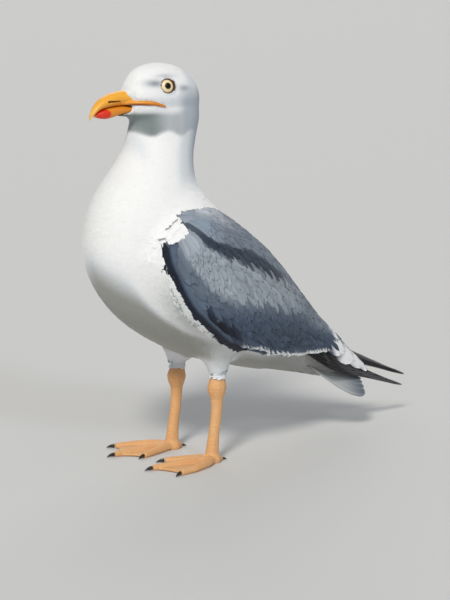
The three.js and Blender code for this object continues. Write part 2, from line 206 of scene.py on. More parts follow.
# The body from the root of the tail to the top of the neck: each ring's middle x and z, the lean of its
# axis in degrees, its reach to the back and to the front, and its half width.
TRUNK = [
    (-176, 55, 28, 2, 4, 7), (-154, 66, 31, 6, 14, 17), (-128, 80, 34, 13, 23, 24), (-97, 98, 36, 27, 35, 36),
    (-60, 121, 39, 44, 51, 49), (-20, 147, 44, 57, 66, 56), (18, 176, 53, 59, 73, 58),
    (40, 203, 67, 57, 71, 55), (47, 226, 82, 51, 59, 48), (46, 246, 90, 41, 46, 39),
    (40, 267, 92, 33, 36, 31), (34, 286, 91, 31, 33, 26), (31, 304, 90, 33, 31, 24.5),
    (31, 319, 90, 32, 22, 22),
]
TRUNK_RINGS, TRUNK_AROUND = 160, 96


def trunk_shape():
    turn = even_turns(TRUNK_AROUND)
    rings = []
    for x, z, lean, above, below, wide in smooth_curve(TRUNK, np.linspace(0, 1, TRUNK_RINGS)):
        reach = np.cos(turn) * np.where(np.cos(turn) > 0, above, below)
        tilt = math.radians(lean)
        forward, up = -math.sin(tilt) * reach, math.cos(tilt) * reach
        rings.append(np.stack([x + forward, np.sin(turn) * wide, z + up], 1))
    return rings_to_shape(rings)


# The skin that reaches forward over the base of the bill, above and under the chin: each ring's x, top,
# bottom and half width, in the head's own frame.
HEAD_MIDDLE = np.array([33.0, 0.0, 321.0])
OVER_BILL = [
    (24, 12, -3, 11), (32, 10.8, -2, 11.2), (38, 9.9, -1.2, 10.6), (41.5, 8.6, 0.8, 9.4), (42.6, 6, 3, 6),
]
UNDER_CHIN = [(20, -6, -17, 10), (32, -8.6, -14.8, 9.6), (41, -10.6, -14.6, 8.4), (46.5, -12.2, -14.8, 6.2),
              (49, -13.2, -14.4, 2.5)]
SLEEVE_RINGS, SLEEVE_AROUND = 16, 32


def sleeve(stations):
    turn = even_turns(SLEEVE_AROUND)
    rings = []
    for x, top, bottom, wide in smooth_curve(stations, np.linspace(0, 1, SLEEVE_RINGS)):
        height = (top + bottom) / 2 + (top - bottom) / 2 * np.cos(turn)
        rings.append(np.stack([np.full(SLEEVE_AROUND, x), wide * np.sin(turn), height], 1) + HEAD_MIDDLE)
    return rings_to_shape(rings)


def swelling(p):
    """How far the body is swollen and drawn back, which fills the creases beside wings and thighs."""
    return 12.0 * ease(300, 200, p[:, 2]) * ease(-135, -45, p[:, 0])


body_solids = grown_solids(KEPT_SHAPES, 0.35)
for shape in (trunk_shape(), sleeve(OVER_BILL), sleeve(UNDER_CHIN)):
    add_shape(body_solids, shape)
body_skin = even_surface(body_solids, BODY_VOXEL, smoothing=3)
places, normals = read(body_skin)
write(body_skin, places + normals * swelling(places)[:, None])
swollen = bmesh.new()
swollen.from_mesh(body_skin)
body_skin = even_surface(swollen, BODY_VOXEL, smoothing=12)
places, normals = read(body_skin)
write(body_skin, places - normals * (swelling(places) + coat_depth(places))[:, None])

# The shin runs on up inside the feathers of the thigh.
SHIN = [(-4.6, 30, 72), (-5, 30, 78), (-4, 29.5, 86), (0, 28, 98)]
SHIN_RINGS = 12
leg_solids = grown_solids(LEG_NODES, 0.3)
for side in (1, -1):
    shin = smooth_curve(SHIN, np.linspace(0, 1, SHIN_RINGS)) * (1, side, 1)
    add_shape(leg_solids, rings_to_shape(tube(shin, np.linspace(5.7, 5.2, SHIN_RINGS), 20)))
leg_skin = even_surface(leg_solids, LEG_VOXEL, smoothing=5)

# ---- Bare legs and feet ----
# Tarsi and webbed feet in tough pinkish-yellow skin: broad overlapping scutes down the front of each
# tarsus and along the top of each toe. The pebbled scales of the sides and webs are in their finish.
ANKLE_HEIGHT = 68.0
FOOT_TOP = 7.0
STANCE = 30.0
FOOT_TURN = math.radians(-8)
FOOT_MIDDLE = np.array([2.0, STANCE, 0.0])
TOE_TURNS = {"inner": -25, "middle": -1, "outer": 29}
SCUTE_PITCH, SCUTE_RISE = 3.1, 0.36
TOE_SCUTE_PITCH, TOE_SCUTE_RISE = 2.6, 0.16
SOLE_HEIGHT = 0.02


def leg_scales(p):
    """How far the scales stand out at each place on the legs."""
    x, y, z = p.T
    side = np.sign(y)
    shank = ease(FOOT_TOP + 2, FOOT_TOP + 6, z) * ease(ANKLE_HEIGHT + 6, ANKLE_HEIGHT, z)
    rise = SCUTE_RISE * shank * ease(-0.5, 2.5, x) * (np.mod(z / SCUTE_PITCH, 1.0) - 0.5)
    local_x, local_y = x - FOOT_MIDDLE[0], y - FOOT_MIDDLE[1] * side
    ahead = np.cos(FOOT_TURN) * local_x + np.sin(FOOT_TURN) * local_y
    aside = side * (np.cos(FOOT_TURN) * local_y - np.sin(FOOT_TURN) * local_x)
    on_toes = np.zeros(len(p))
    for turn in TOE_TURNS.values():
        angle = math.radians(turn)
        along = np.cos(angle) * ahead + np.sin(angle) * aside
        off = np.abs(np.cos(angle) * aside - np.sin(angle) * ahead)
        near = ease(4.2, 2.2, off) * ease(6, 12, along) * ease(1.0, 2.5, z)
        on_toes += near * (np.mod(-along / TOE_SCUTE_PITCH, 1.0) - 0.5)
    return rise + TOE_SCUTE_RISE * ease(FOOT_TOP + 3, FOOT_TOP, z) * on_toes


places, normals = read(leg_skin)
places += normals * leg_scales(places)[:, None]
places[:, 2] = np.maximum(places[:, 2], SOLE_HEIGHT)
write(leg_skin, places)

# ---- Eyelids ----
# A thin bare rim of dark skin round each eye, which rides on the eyeball and runs out under the small
# feathers of the face. It is one with the skin.
EYE_RADIUS = 9.0
LID_OPENING = (6.2, 5.7)
LID_REACH = 10.5
LID_AROUND = 72


def eye_frame(side):
    """The middle of an eyeball, and the ways forward, up and out from it."""
    out = unit(np.array([0.14, side * 0.96, 0.2]))
    forward = unit(np.array([1.0, 0.0, 0.0]) - out * out[0])
    return EYE_MIDDLE * (1, side, 1), forward, np.cross(forward, out) * side, out


def tree_of(*meshes):
    """A tree for finding the nearest place on those meshes."""
    places, faces = [], []
    for mesh in meshes:
        start = len(places)
        places += read(mesh)[0].tolist()
        faces += [[start + v for v in face.vertices] for face in mesh.polygons]
    return BVHTree.FromPolygons(places, faces)


def lid_shape(side, skin_tree):
    middle, forward, up, out = eye_frame(side)
    wide, high = LID_OPENING
    rings = []
    for turn in even_turns(LID_AROUND):
        way = forward * math.cos(turn) + up * math.sin(turn)
        opening = 1 / math.hypot(math.cos(turn) / wide, math.sin(turn) / high)
        landing = Vector(middle + way * LID_REACH + out * 6)
        skin_height = (np.array(skin_tree.find_nearest(landing)[0]) - middle) @ out - 0.5
        rim = math.sqrt((EYE_RADIUS + 0.9) ** 2 - (opening + 0.7) ** 2)
        section = [(LID_REACH, skin_height - 0.6)]
        for share in (0.3, 0.6, 0.85):
            reach = LID_REACH + (opening + 1.2 - LID_REACH) * share
            section.append((reach, skin_height + (rim - skin_height) * share ** 1.5))
        section.append((opening + 0.7, rim + 0.1))
        for inward, clear in ((0.25, 0.62), (0.0, 0.3), (0.5, 0.15)):
            reach = opening + inward
            section.append((reach, math.sqrt((EYE_RADIUS + clear) ** 2 - reach ** 2)))
        section.append((LID_REACH - 1.5, min(skin_height, rim) - 2.6))
        rings.append([middle + way * reach + out * height for reach, height in section])
    return rings_to_shape(rings, closed=True)


skin_tree = tree_of(body_skin)
skin = in_scene("skin", body_skin)
joined_pieces = []
for mesh in [leg_skin] + [mesh_of(lid_shape(side, skin_tree), "lid") for side in (1, -1)]:
    piece = in_scene("joined", mesh)
    union = skin.modifiers.new("union", "BOOLEAN")
    union.operation = "UNION"
    union.object = piece
    union.solver = "MANIFOLD"
    joined_pieces.append(piece)
skin_mesh = worked_mesh(skin)
skin.modifiers.clear()
skin.data = skin_mesh
for piece in joined_pieces:
    bpy.data.objects.remove(piece)
skin_mesh.shade_smooth()
skin_places, skin_normals = read(skin_mesh)
skin_tree = tree_of(skin_mesh)

# ---- Markings ----
# Skin and feathers take their colours from the same rule: slate over the mantle and wings, from a
# ragged edge across the shoulders, and white elsewhere, with painted shade greying it where the bird is in
# its own shade.


def linear(colour):
    """An sRGB hex colour as linear red, green and blue."""
    parts = np.array([int(colour[i : i + 2], 16) / 255 for i in (1, 3, 5)])
    return np.where(parts <= 0.04045, parts / 12.92, ((parts + 0.055) / 1.055) ** 2.4)


def layered(tone, *layers):
    """One tone with layers of other colours laid over it, each by its share at each place."""
    for colour, share in layers:
        tone = tone + (colour - tone) * np.clip(share, 0, 1)[:, None]
    return tone


WHITE = linear("#F3F5F6")
# The greys below are painted shade on the white plumage: a pale one on the nape, cheek, neck and underside,
# and deeper ones under the chin, on the throat, nape and lores, under the belly and at the vent.
PAINTED_PALE_SHADE = linear("#D9E0E7")
CHIN_SHADE = linear("#74807F")
THROAT_SHADE = linear("#A9B1B6")
NAPE_SHADE = linear("#A9B3BF")
LORE_SHADE = linear("#8F98A3")
UNDER_SHADE = linear("#9D9F9A")
VENT_SHADE = linear("#90918D")
SLATE = linear("#66768A")
# The neck's middle line and half width by height, and the wing's front edge by height.
NECK_Z, NECK_X, NECK_WIDE = [205, 246, 267, 286, 330], [38, 45, 40, 34, 22], [58, 41, 33, 28, 26]
WING_FRONT_Z, WING_FRONT_X = [93, 109, 137, 176, 204], [-42, 8, 52, 73, 74]


def smudge(p, middle, reach):
    """1 at the middle of a soft patch's x and z, falling to 0 over its reach forward and up."""
    away = (p[:, [0, 2]] - np.array(middle)) / np.array(reach)
    return np.exp(-np.sum(away * away, axis=1))


def from_middle(p):
    """The way out to each place from the middle line of the trunk."""
    middle_x = np.clip(p[:, 0], -100, 15)
    middle_z = np.interp(middle_x, [-100, -40, 15], [95, 128, 160])
    return unit(p - np.stack([middle_x, 0 * middle_x, middle_z], 1))


def white_plumage(p):
    """The colour of the white plumage at each place, greyed with painted shade on the nape, the back of the
    head, the cheek, throat, chin and lores, the underside and the vent.
    """
    x, y, z = p.T
    off = np.abs(y)
    behind = (np.interp(z, NECK_Z, NECK_X) - x) / np.interp(z, NECK_Z, NECK_WIDE)
    throat = ease(290.5, 294.5, z + 2 * np.sin(x / 4))
    cheek = ease(12, 17, off)
    out = from_middle(p)
    ahead = x - np.interp(z, WING_FRONT_Z, WING_FRONT_X)
    beside_wing = ease(34, 6, ahead) * ease(28, 44, off) * ease(108, 124, z)
    under = 0.6 * out[:, 0] - 0.48 * np.abs(out[:, 1]) - out[:, 2] - 0.5 * beside_wing
    not_thigh = 1 - ease(98, 90, z) * ease(-32, -22, x) * ease(12, 18, off)
    # Painted shade, layer by layer: nape, cheek, back of the head, throat and chin, neck, lores, brow and
    # behind the eye, then the underside and the vent. The one white layer keeps a streak under the gape clear
    # of it.
    return layered(
        WHITE,
        (PAINTED_PALE_SHADE, 0.8 * ease(-0.1, 0.2, behind) * ease(238, 262, z)),
        (NAPE_SHADE, 0.8 * ease(0.3, 0.8, behind) * ease(240, 268, z) * ease(352, 325, z)),
        (PAINTED_PALE_SHADE, 0.9 * smudge(p, (40, 318), (16, 8)) * ease(10, 18, off)),
        (NAPE_SHADE, 0.85 * throat * ease(37, 24, x) * ease(336, 318, z)),
        (THROAT_SHADE, 0.9 * throat * ease(313, 306, z) * ease(18, 36, x)),
        (CHIN_SHADE, 0.9 * throat * ease(311, 307, z) * ease(40, 57, x)),
        (PAINTED_PALE_SHADE, 0.7 * smudge(p, (66, 283), (5, 12))),
        (WHITE, smudge(p, (41, 313), (11, 1.9)) * cheek),
        (LORE_SHADE, 0.95 * smudge(p, (54, 334.5), (7.5, 3.2)) * ease(9, 14, off)),
        (LORE_SHADE, 0.5 * smudge(p, (43, 340.5), (9, 2)) * cheek),
        (LORE_SHADE, 0.75 * smudge(p, (26, 330), (6, 2.6)) * cheek),
        (PAINTED_PALE_SHADE, 0.8 * ease(0.05, 0.4, under) * ease(215, 190, z)),
        (UNDER_SHADE, ease(0.2, 0.56, under) * ease(200, 180, z) * not_thigh),
        (VENT_SHADE, 0.9 * ease(-15, -70, x) * ease(120, 80, z) * not_thigh),
    )


def behind_shoulder(p):
    """How many millimetres a place lies behind the front edge of the slate mantle."""
    x, y, z = p.T
    off = np.abs(y)
    edge = -19 + 61 * (np.minimum(off, 60) / 47) ** 1.2
    lobe = np.exp(-(((x - 50) / 12) ** 2) - ((z - 211) / 10) ** 2) * ease(46, 52, off)
    return 0.76 * (edge - x) + 0.65 * (227 - z) + 12 * ease(52, 42, off) - 20 * lobe


SLATE_NODES = ["mantle", "wing_left", "wing_right"]
# The folded wing, by stations from shoulder to tip: its upper edge, its lower edge, its bulge and thickness.
WING = [
    ((46, 46, 228), (74, 51, 204), 5, 4), ((16, 36, 230), (73, 55, 176), 16, 12),
    ((-26, 13, 214), (52, 55, 137), 29, 15), ((-62, 5, 190), (8, 51, 109), 31, 15),
    ((-100, 1, 152), (-42, 43, 93), 24, 13), ((-134, 0, 116), (-90, 35, 85), 14, 10),
    ((-168, 0, 86), (-138, 25, 75), 7, 7), ((-210, 0, 53), (-194, 11, 48), 2, 3),
]
FRONT_T = np.linspace(0, 0.5, 90)
FRONT_EDGE = smooth_curve([station[1] for station in WING], FRONT_T)
WHITE_OVER_EDGE = np.interp(FRONT_T, [0, 0.08, 0.16, 0.24, 0.32, 0.38, 0.44], [1, 3, 6, 7.5, 7.5, 5, 0])


def from_front(p):
    """How far a place lies from a wing's front edge, and how far the flank's feathers lie over it there."""
    folded = np.stack([p[:, 0], np.abs(p[:, 1]), p[:, 2]], 1)
    away = np.linalg.norm(folded[:, None] - FRONT_EDGE[None], axis=2)
    nearest = away.argmin(1)
    return away[np.arange(len(p)), nearest], WHITE_OVER_EDGE[nearest]


def packed_tree(names):
    mesh = mesh_of(grown_solids(names, 0), "packed")
    tree = tree_of(mesh)
    bpy.data.meshes.remove(mesh)
    return tree


def nearer(p, this, other):
    """How much nearer each place is to what one tree holds than to what the other does."""
    return np.array([other.find_nearest(Vector(q))[3] - this.find_nearest(Vector(q))[3] for q in p])


slate_tree = packed_tree(SLATE_NODES)
white_tree = packed_tree([name for name in BODY_NODES if name not in SLATE_NODES])


def nearness(p):
    """How much nearer each place is to the mantle and wings than to the white parts, in millimetres.

    The small slate feathers begin a little before the mantle does, at the foot of the neck."""
    return nearer(p, slate_tree, white_tree) + 9 * ease(202, 214, p[:, 2]) * ease(56, 48, np.abs(p[:, 1]))


edge_gap, edge_white = from_front(skin_places)
is_slate = (nearness(skin_places) > 0) & (behind_shoulder(skin_places) > 0) & (edge_gap > edge_white)
skin_colours = np.where(is_slate[:, None], SLATE, white_plumage(skin_places))

# ---- Finish of the skin ----
# Under the feathers the skin is downy and matt. The legs are hard waxy skin, flesh pink with a yellow
# cast and deeper in the creases, and the rims of the eyes are thin dark skin with a moist edge.
THIGH_HEM = 79.0
DOWNY, SCALY, LID = 0, 1, 2


def node(tree, kind, settings=(), links=()):
    """A new node in a tree, with its settings and its inputs' links or values."""
    made = tree.nodes.new(kind)
    for name, value in dict(settings).items():
        setattr(made, name, value)
    for socket, value in dict(links).items():
        if isinstance(value, bpy.types.NodeSocket):
            tree.links.new(value, made.inputs[socket])
        else:
            made.inputs[socket].default_value = value
    return made


def opaque(colour):
    return (*linear(colour), 1)


def new_material(name, **constants):
    """A material, its tree, and its Principled shader with those constants."""
    material = bpy.data.materials.new(name)
    material.use_nodes = True
    shader = material.node_tree.nodes["Principled BSDF"]
    for socket, value in constants.items():
        shader.inputs[socket.replace("_", " ")].default_value = value
    return material, material.node_tree, shader


def downy_skin():
    """Thin skin under down: quite matt, so that what shows between the feathers never shines."""
    material, tree, shader = new_material("downy_skin", Roughness=0.9)
    tone = node(tree, "ShaderNodeAttribute", {"attribute_name": "plumage"})
    tree.links.new(tone.outputs["Color"], shader.inputs["Base Color"])
    return material


def scaly_leg_skin():
    """Keratin scales 1.3 mm across: satin and blotched pale orange, with darker sunken seams."""
    material, tree, shader = new_material("scaly_leg_skin", Roughness=0.5)
    place = node(tree, "ShaderNodeTexCoord").outputs["Object"]
    scales = node(tree, "ShaderNodeTexVoronoi", {"feature": "DISTANCE_TO_EDGE"},
                  {"Vector": place, "Scale": 1 / (1.3 * MM)})
    seam = node(tree, "ShaderNodeMapRange", links={"Value": scales.outputs["Distance"], "From Max": 0.16})
    blotch = node(tree, "ShaderNodeTexNoise", links={"Vector": place, "Scale": 1 / (14 * MM), "Detail": 3.0})
    body = node(tree, "ShaderNodeMix", {"data_type": "RGBA"},
                {"Factor": blotch.outputs["Fac"], 6: opaque("#DDA468"), 7: opaque("#EDBD88")})
    seamed = node(tree, "ShaderNodeMix", {"data_type": "RGBA"},
                  {"Factor": seam.outputs["Result"], 6: opaque("#D19B66"), 7: body.outputs[2]})
    tree.links.new(seamed.outputs[2], shader.inputs["Base Color"])
    bump = node(tree, "ShaderNodeBump",
                links={"Height": seam.outputs["Result"], "Distance": 0.2 * MM, "Strength": 0.4})
    tree.links.new(bump.outputs["Normal"], shader.inputs["Normal"])
    return material


def mottled(name, grain, dark, light, **constants):
    """A finish in two close tones, in soft patches grain millimetres across."""
    material, tree, shader = new_material(name, **constants)
    place = node(tree, "ShaderNodeTexCoord").outputs["Object"]
    patches = node(tree, "ShaderNodeTexNoise",
                   links={"Vector": place, "Scale": 1 / (grain * MM), "Detail": 2.0})
    tint = node(tree, "ShaderNodeMix", {"data_type": "RGBA"},
                {"Factor": patches.outputs["Fac"], 6: opaque(dark), 7: opaque(light)})
    tree.links.new(tint.outputs[2], shader.inputs["Base Color"])
    return material


def paint(mesh, colours):
    """Gives each vertex its colour of plumage."""
    layer = mesh.attributes.new("plumage", "FLOAT_COLOR", "POINT")
    layer.data.foreach_set("color", np.hstack([colours, np.ones((len(colours), 1))]).ravel())


def show(piece, slot, *nodes):
    """Fixes a piece to the bird in place of those nodes, which it hides. The slot is not used."""
    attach(piece, "root")
    if nodes:
        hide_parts(*nodes)


skin_mesh.materials.clear()
skin_mesh.materials.append(downy_skin())
skin_mesh.materials.append(scaly_leg_skin())
# The bare lid is thin leathery skin, dark brown and a little moist, so its rim catches the light.
skin_mesh.materials.append(mottled("lid_skin", 0.8, "#2A1710", "#6B3A1E", Roughness=0.35))
paint(skin_mesh, skin_colours)
face_middles = np.zeros(len(skin_mesh.polygons) * 3)
skin_mesh.polygons.foreach_get("center", face_middles)
face_middles = millimetres(face_middles.reshape(-1, 3))
finish = np.full(len(face_middles), DOWNY, np.int32)
finish[(face_middles[:, 2] < THIGH_HEM) & (face_middles[:, 0] > -20)] = SCALY
for side in (1, -1):
    middle, forward, up, out = eye_frame(side)
    from_eye = face_middles - middle
    across = np.hypot(from_eye @ forward / LID_OPENING[0], from_eye @ up / LID_OPENING[1])
    finish[(across < 1.2) & (from_eye @ out > 3)] = LID
skin_mesh.polygons.foreach_set("material_index", finish)
show(skin, "white_plumage", *BODY_NODES, *LEG_NODES)

# ---- Eyes ----
# A hard clear cornea over a straw-coloured iris with fine dark flecks and a round black pupil. The
# cornea bulges from the ball of the eye, and the lids hold it.
IRIS_REACH = 7.0
# The eye's rings, by share of that reach.
EYE_RINGS = [(0.0, "#050404"), (0.385, "#070504"), (0.41, "#8C6A36"), (0.46, "#EBD9A4"), (0.68, "#F5E9C8"),
             (0.80, "#D9B778"), (0.86, "#8A5A2C"), (0.92, "#2B1810"), (1.0, "#1A0F0B")]


def eye_finish():
    """A wet cornea over a matt iris: only the clear coat shines, with one small sharp light."""
    material, tree, shader = new_material(
        "wet_eye", Roughness=0.3, Coat_Weight=1.0, Coat_Roughness=0.02, Coat_IOR=1.4, Specular_IOR_Level=0.0
    )
    place = node(tree, "ShaderNodeTexCoord").outputs["Object"]
    flat = node(tree, "ShaderNodeVectorMath", {"operation": "MULTIPLY"}, {0: place, 1: (1 / MM, 1 / MM, 0)})
    reach = node(tree, "ShaderNodeVectorMath", {"operation": "LENGTH"}, {0: flat.outputs["Vector"]})
    flecks = node(tree, "ShaderNodeTexNoise", links={"Vector": place, "Scale": 1 / (0.9 * MM), "Detail": 3.0})
    wobble = node(tree, "ShaderNodeMath", {"operation": "MULTIPLY_ADD"},
                  {0: flecks.outputs["Fac"], 1: 0.5, 2: reach.outputs["Value"]})
    share = node(tree, "ShaderNodeMath", {"operation": "DIVIDE"}, {0: wobble.outputs["Value"], 1: IRIS_REACH})
    ramp = node(tree, "ShaderNodeValToRGB", links={"Fac": share.outputs["Value"]})
    stops = ramp.color_ramp.elements
    stops.remove(stops[1])
    for i, (position, colour) in enumerate(EYE_RINGS):
        stop = stops.new(position) if i else stops[0]
        stop.position = position
        stop.color = opaque(colour)
    tree.links.new(ramp.outputs["Color"], shader.inputs["Base Color"])
    return material


def ring_order(place):
    """A number that puts the places of a ball in one fixed order, ring by ring."""
    x, y, z = place / MM
    return 1000 * round(z, 2) + 0.618 * x + y


eye_material = eye_finish()
for side, label in ((1, "left"), (-1, "right")):
    middle, forward, up, out = eye_frame(side)
    gaze = unit(out + 0.05 * forward)
    shape = bmesh.new()
    bmesh.ops.create_uvsphere(shape, u_segments=64, v_segments=48, radius=EYE_RADIUS * MM)
    # The ball's parts come in a different order each time, so they are put in order here.
    shape.verts.sort(key=lambda v: ring_order(v.co))
    shape.faces.sort(key=lambda f: ring_order(f.calc_center_median()))
    for v in shape.verts:
        bulge = max(0.0, v.co.z / (EYE_RADIUS * MM) - 0.72)
        v.co.z += bulge * bulge * 6 * MM
    mesh = mesh_of(shape, "eyeball_" + label)
    mesh.shade_smooth()
    mesh.materials.append(eye_material)
    eye = in_scene("eyeball_" + label, mesh)
    across = np.cross(up, gaze)
    turn = Matrix(np.stack([unit(across), unit(np.cross(gaze, across)), gaze], 1)).to_4x4()
    eye.matrix_world = Matrix.Translation(metres(middle)) @ turn
    show(eye, "eye", "eye_" + label)

# ---- Bill ----
# Polished yellow horn over the jaws: the upper bill hooks over the lower, each side has a slit
# nostril, and the soft orange edge of the mouth runs back under the eye. The angle of the lower bill
# carries a red spot. Each half is given by stations of x, top, bottom and half width.
UPPER_BILL = [(26, 7, -6, 7.5), (35, 8.2, -5, 8.8), (44, 7.4, -5, 7.6), (55, 5.2, -5.8, 6.4),
              (64, 1, -7.5, 5.4), (70, -4.6, -11, 4.1), (73.6, -10.8, -14.6, 2.4), (74.8, -15.8, -17.4, 0.9)]
LOWER_BILL = [(26, -6.2, -12, 6.6), (36, -5.1, -11.6, 7.0), (46, -5.1, -12.8, 6.4), (55, -5.9, -15.2, 5.4),
              (61, -7.0, -15.6, 4.7), (67, -9.2, -14.6, 3.2), (70, -11.3, -13.6, 1.4)]
# The edge of the mouth, from the bill back: its middle line and its radius.
MOUTH_EDGE = [(46, 4.5, -2.6, 1.6), (38, 8.4, -2.6, 1.9), (29, 14.8, -2.8, 2.0), (20, 19.4, -3.6, 1.7),
              (12, 21.9, -6.3, 0.8)]
BILL_VOXEL = 0.45
NOSTRIL_X, NOSTRIL_HALF, NOSTRIL_DEPTH = 53.5, 6.6, 1.6
BILL_YELLOW, AMBER = linear("#F6B238"), linear("#D9821A")
MOUTH_BROWN, RED, NOSTRIL_SHADOW, TIP_PALE = (linear(c) for c in ("#8E3E10", "#E01A04", "#3A1608", "#F7D27A"))


def horn(stations, along, around, ridge):
    """A closed horn of that many rings, with a ridge along its top."""
    x, top, bottom, wide = smooth_curve(stations, np.linspace(0, 1, along)).T
    rise, aside = np.cos(even_turns(around)), np.sin(even_turns(around))
    tall = np.sign(rise) * np.abs(rise) ** 0.9
    plump = np.sign(aside) * np.abs(aside) ** np.where(rise > 0, ridge, 0.8)
    middle, half = (top + bottom) / 2, (top - bottom) / 2
    height = middle[:, None] + half[:, None] * tall
    rings = np.stack([np.repeat(x[:, None], around, 1), wide[:, None] * plump, height], 2)
    return rings_to_shape(rings + HEAD_MIDDLE)


upper = horn(UPPER_BILL, along=60, around=40, ridge=0.95)
for side in (1, -1):
    stations = smooth_curve(MOUTH_EDGE, np.linspace(0, 1, 24))
    line = stations[:, :3] * (1, side, 1) + HEAD_MIDDLE
    add_shape(upper, rings_to_shape(tube(line, stations[:, 3], 14)))
upper_mesh = even_surface(upper, BILL_VOXEL, smoothing=4)
lower_mesh = even_surface(horn(LOWER_BILL, along=50, around=36, ridge=0.8), BILL_VOXEL, smoothing=3)


def nostril(p):
    """How deep the nostril is at each place of the upper bill."""
    x, y, z = (p - HEAD_MIDDLE).T
    share = (x - NOSTRIL_X) / NOSTRIL_HALF
    slit = np.abs(z + 1.2 + 0.1 * share) / (0.85 + 0.45 * share)
    return NOSTRIL_DEPTH * ease(1.0, 0.75, np.abs(share)) * ease(1.0, 0.35, slit) * ease(3, 4, np.abs(y))


places, normals = read(upper_mesh)
write(upper_mesh, places - normals * nostril(places)[:, None])


def horn_finish(name):
    """Horn: smooth, hard and slightly waxy, with faint growth lines 0.9 mm apart that run to the tip."""
    gloss = {"Roughness": 0.38, "IOR": 1.5, "Coat_Weight": 0.12, "Coat_Roughness": 0.15}
    material, tree, shader = new_material(name, **gloss)
    tone = node(tree, "ShaderNodeAttribute", {"attribute_name": "plumage"})
    place = node(tree, "ShaderNodeTexCoord").outputs["Object"]
    grain_scale = (1 / (9 * MM), 1 / (0.9 * MM), 1 / (0.9 * MM))
    stretched = node(tree, "ShaderNodeVectorMath", {"operation": "MULTIPLY"}, {0: place, 1: grain_scale})
    lines = node(tree, "ShaderNodeTexNoise",
                 links={"Vector": stretched.outputs["Vector"], "Scale": 1.0, "Detail": 3.0})
    share = node(tree, "ShaderNodeMapRange",
                 links={"Value": lines.outputs["Fac"], "From Min": 0.35, "From Max": 0.75, "To Max": 0.22})
    streaked = node(tree, "ShaderNodeMix", {"data_type": "RGBA"},
                    {"Factor": share.outputs["Result"], 6: tone.outputs["Color"], 7: opaque("#C9761A")})
    tree.links.new(streaked.outputs[2], shader.inputs["Base Color"])
    bump = node(tree, "ShaderNodeBump",
                links={"Height": lines.outputs["Fac"], "Distance": 0.12 * MM, "Strength": 0.35})
    tree.links.new(bump.outputs["Normal"], shader.inputs["Normal"])
    return material


def bill_colours(p, lower):
    """Yellow horn, deeper orange low down and at the mouth, red at the spot, and dark in the nostril's hollow
    as painted shadow.
    """
    x, _, z = (p - HEAD_MIDDLE).T
    if lower:
        spot = np.hypot((x - 63) / 6.6, (z + 11.6) / 4.8)
        return layered(BILL_YELLOW, (AMBER, 0.85 * np.ones(len(p))), (RED, ease(1.08, 0.9, spot)))
    drop = z - np.interp(x, [13, 20, 29, 46], [-6.3, -3.6, -2.8, -2.6])
    return layered(
        BILL_YELLOW,
        (AMBER, 0.75 * ease(3.5, -4.5, z + 0.012 * np.maximum(x - 44, 0) ** 2)),
        (MOUTH_BROWN, ease(44, 36, x) * ease(0.2, -0.9, drop)),
        (AMBER, 0.7 * ease(34, 20, x)),
        (TIP_PALE, 0.6 * ease(68, 74, x)),
        # Painted shadow in the nostril's hollow.
        (NOSTRIL_SHADOW, ease(0.25, 0.9, nostril(p))),
    )


for half, mesh in (("upper", upper_mesh), ("lower", lower_mesh)):
    mesh.name = f"bill_{half}_horn"
    mesh.shade_smooth()
    paint(mesh, bill_colours(read(mesh)[0], half == "lower"))
    mesh.materials.append(horn_finish(mesh.name))
    show(in_scene(mesh.name, mesh), "bill_horn", "bill_" + half)

# ---- Claws ----
# Short curved blunt claws of black horn. Their imported solids have the right shape, so they stay and
# are only rounded off. The horn has a hard dull shine, and is mottled a little lighter in patches 1.5 mm
# across.
claw_material = mottled("black_claw_horn", 1.5, "#0E0B0A", "#2E2621", Roughness=0.3, IOR=1.54)
for name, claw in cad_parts.items():
    if name.startswith("claw"):
        weld = claw.modifiers.new("weld", "WELD")
        weld.merge_threshold = 1e-6
        rounded = claw.modifiers.new("rounded", "SUBSURF")
        rounded.levels = rounded.render_levels = 2
        claw.data.materials.clear()
        claw.data.materials.append(claw_material)
        claw.data.shade_smooth()

# ---- Small feathers ----
# The contour feathers that clothe the head, neck, breast, belly, thighs and back: soft vanes with
# loose tips, each rooted in the skin and lying back over the roots of those behind it. They are
# shortest beside the bill and round the eyes and longest under the tail.
LINE_OF_LIE = np.array([
    (70, 318), (33, 325), (31, 304), (34, 286), (40, 267), (46, 246), (46, 226), (38, 203),
    (18, 176), (-20, 147), (-60, 121), (-97, 98), (-128, 80), (-154, 65), (-180, 52),
], float)
LIE_TANGENTS = unit(np.gradient(LINE_OF_LIE, axis=0))
LIE_SHARES = np.linspace(0, 1, len(LINE_OF_LIE))
COAT_ABOVE_SKIN = 0.25
seed = np.random.default_rng(7)


def lie(p):
    """The way the feathers lie at each place, its share of the way to the tail, and the line there."""
    x, y, z = p.T
    away = np.linalg.norm(p[:, None, [0, 2]] - LINE_OF_LIE[None], axis=2)
    weights = np.exp(-(away - away.min(1, keepdims=True)) / 9)
    weights /= weights.sum(1, keepdims=True)
    way = weights @ LIE_TANGENTS
    on_thigh = ease(112, 92, z) * ease(-30, -14, x) * ease(10, 16, np.abs(y))
    way += (np.array([-0.2, -1.0]) - way) * on_thigh[:, None]
    return np.insert(way, 1, 0.0, axis=1), weights @ LIE_SHARES, weights @ LINE_OF_LIE


def bake_places(p):
    """An unwrap of the whole bird: along it from bill to tail, and round it from the breast."""
    _, share, middle = lie(p)
    tangent = unit(np.stack([np.interp(share, LIE_SHARES, LIE_TANGENTS[:, i]) for i in (0, 1)], 1))
    off = p[:, [0, 2]] - middle
    over = off[:, 0] * tangent[:, 1] - off[:, 1] * tangent[:, 0]
    round_it = np.arctan2(p[:, 1], -over) / (2 * math.pi) + 0.5
    return np.stack([0.02 + 0.96 * share, 0.02 + 0.96 * round_it], 1)


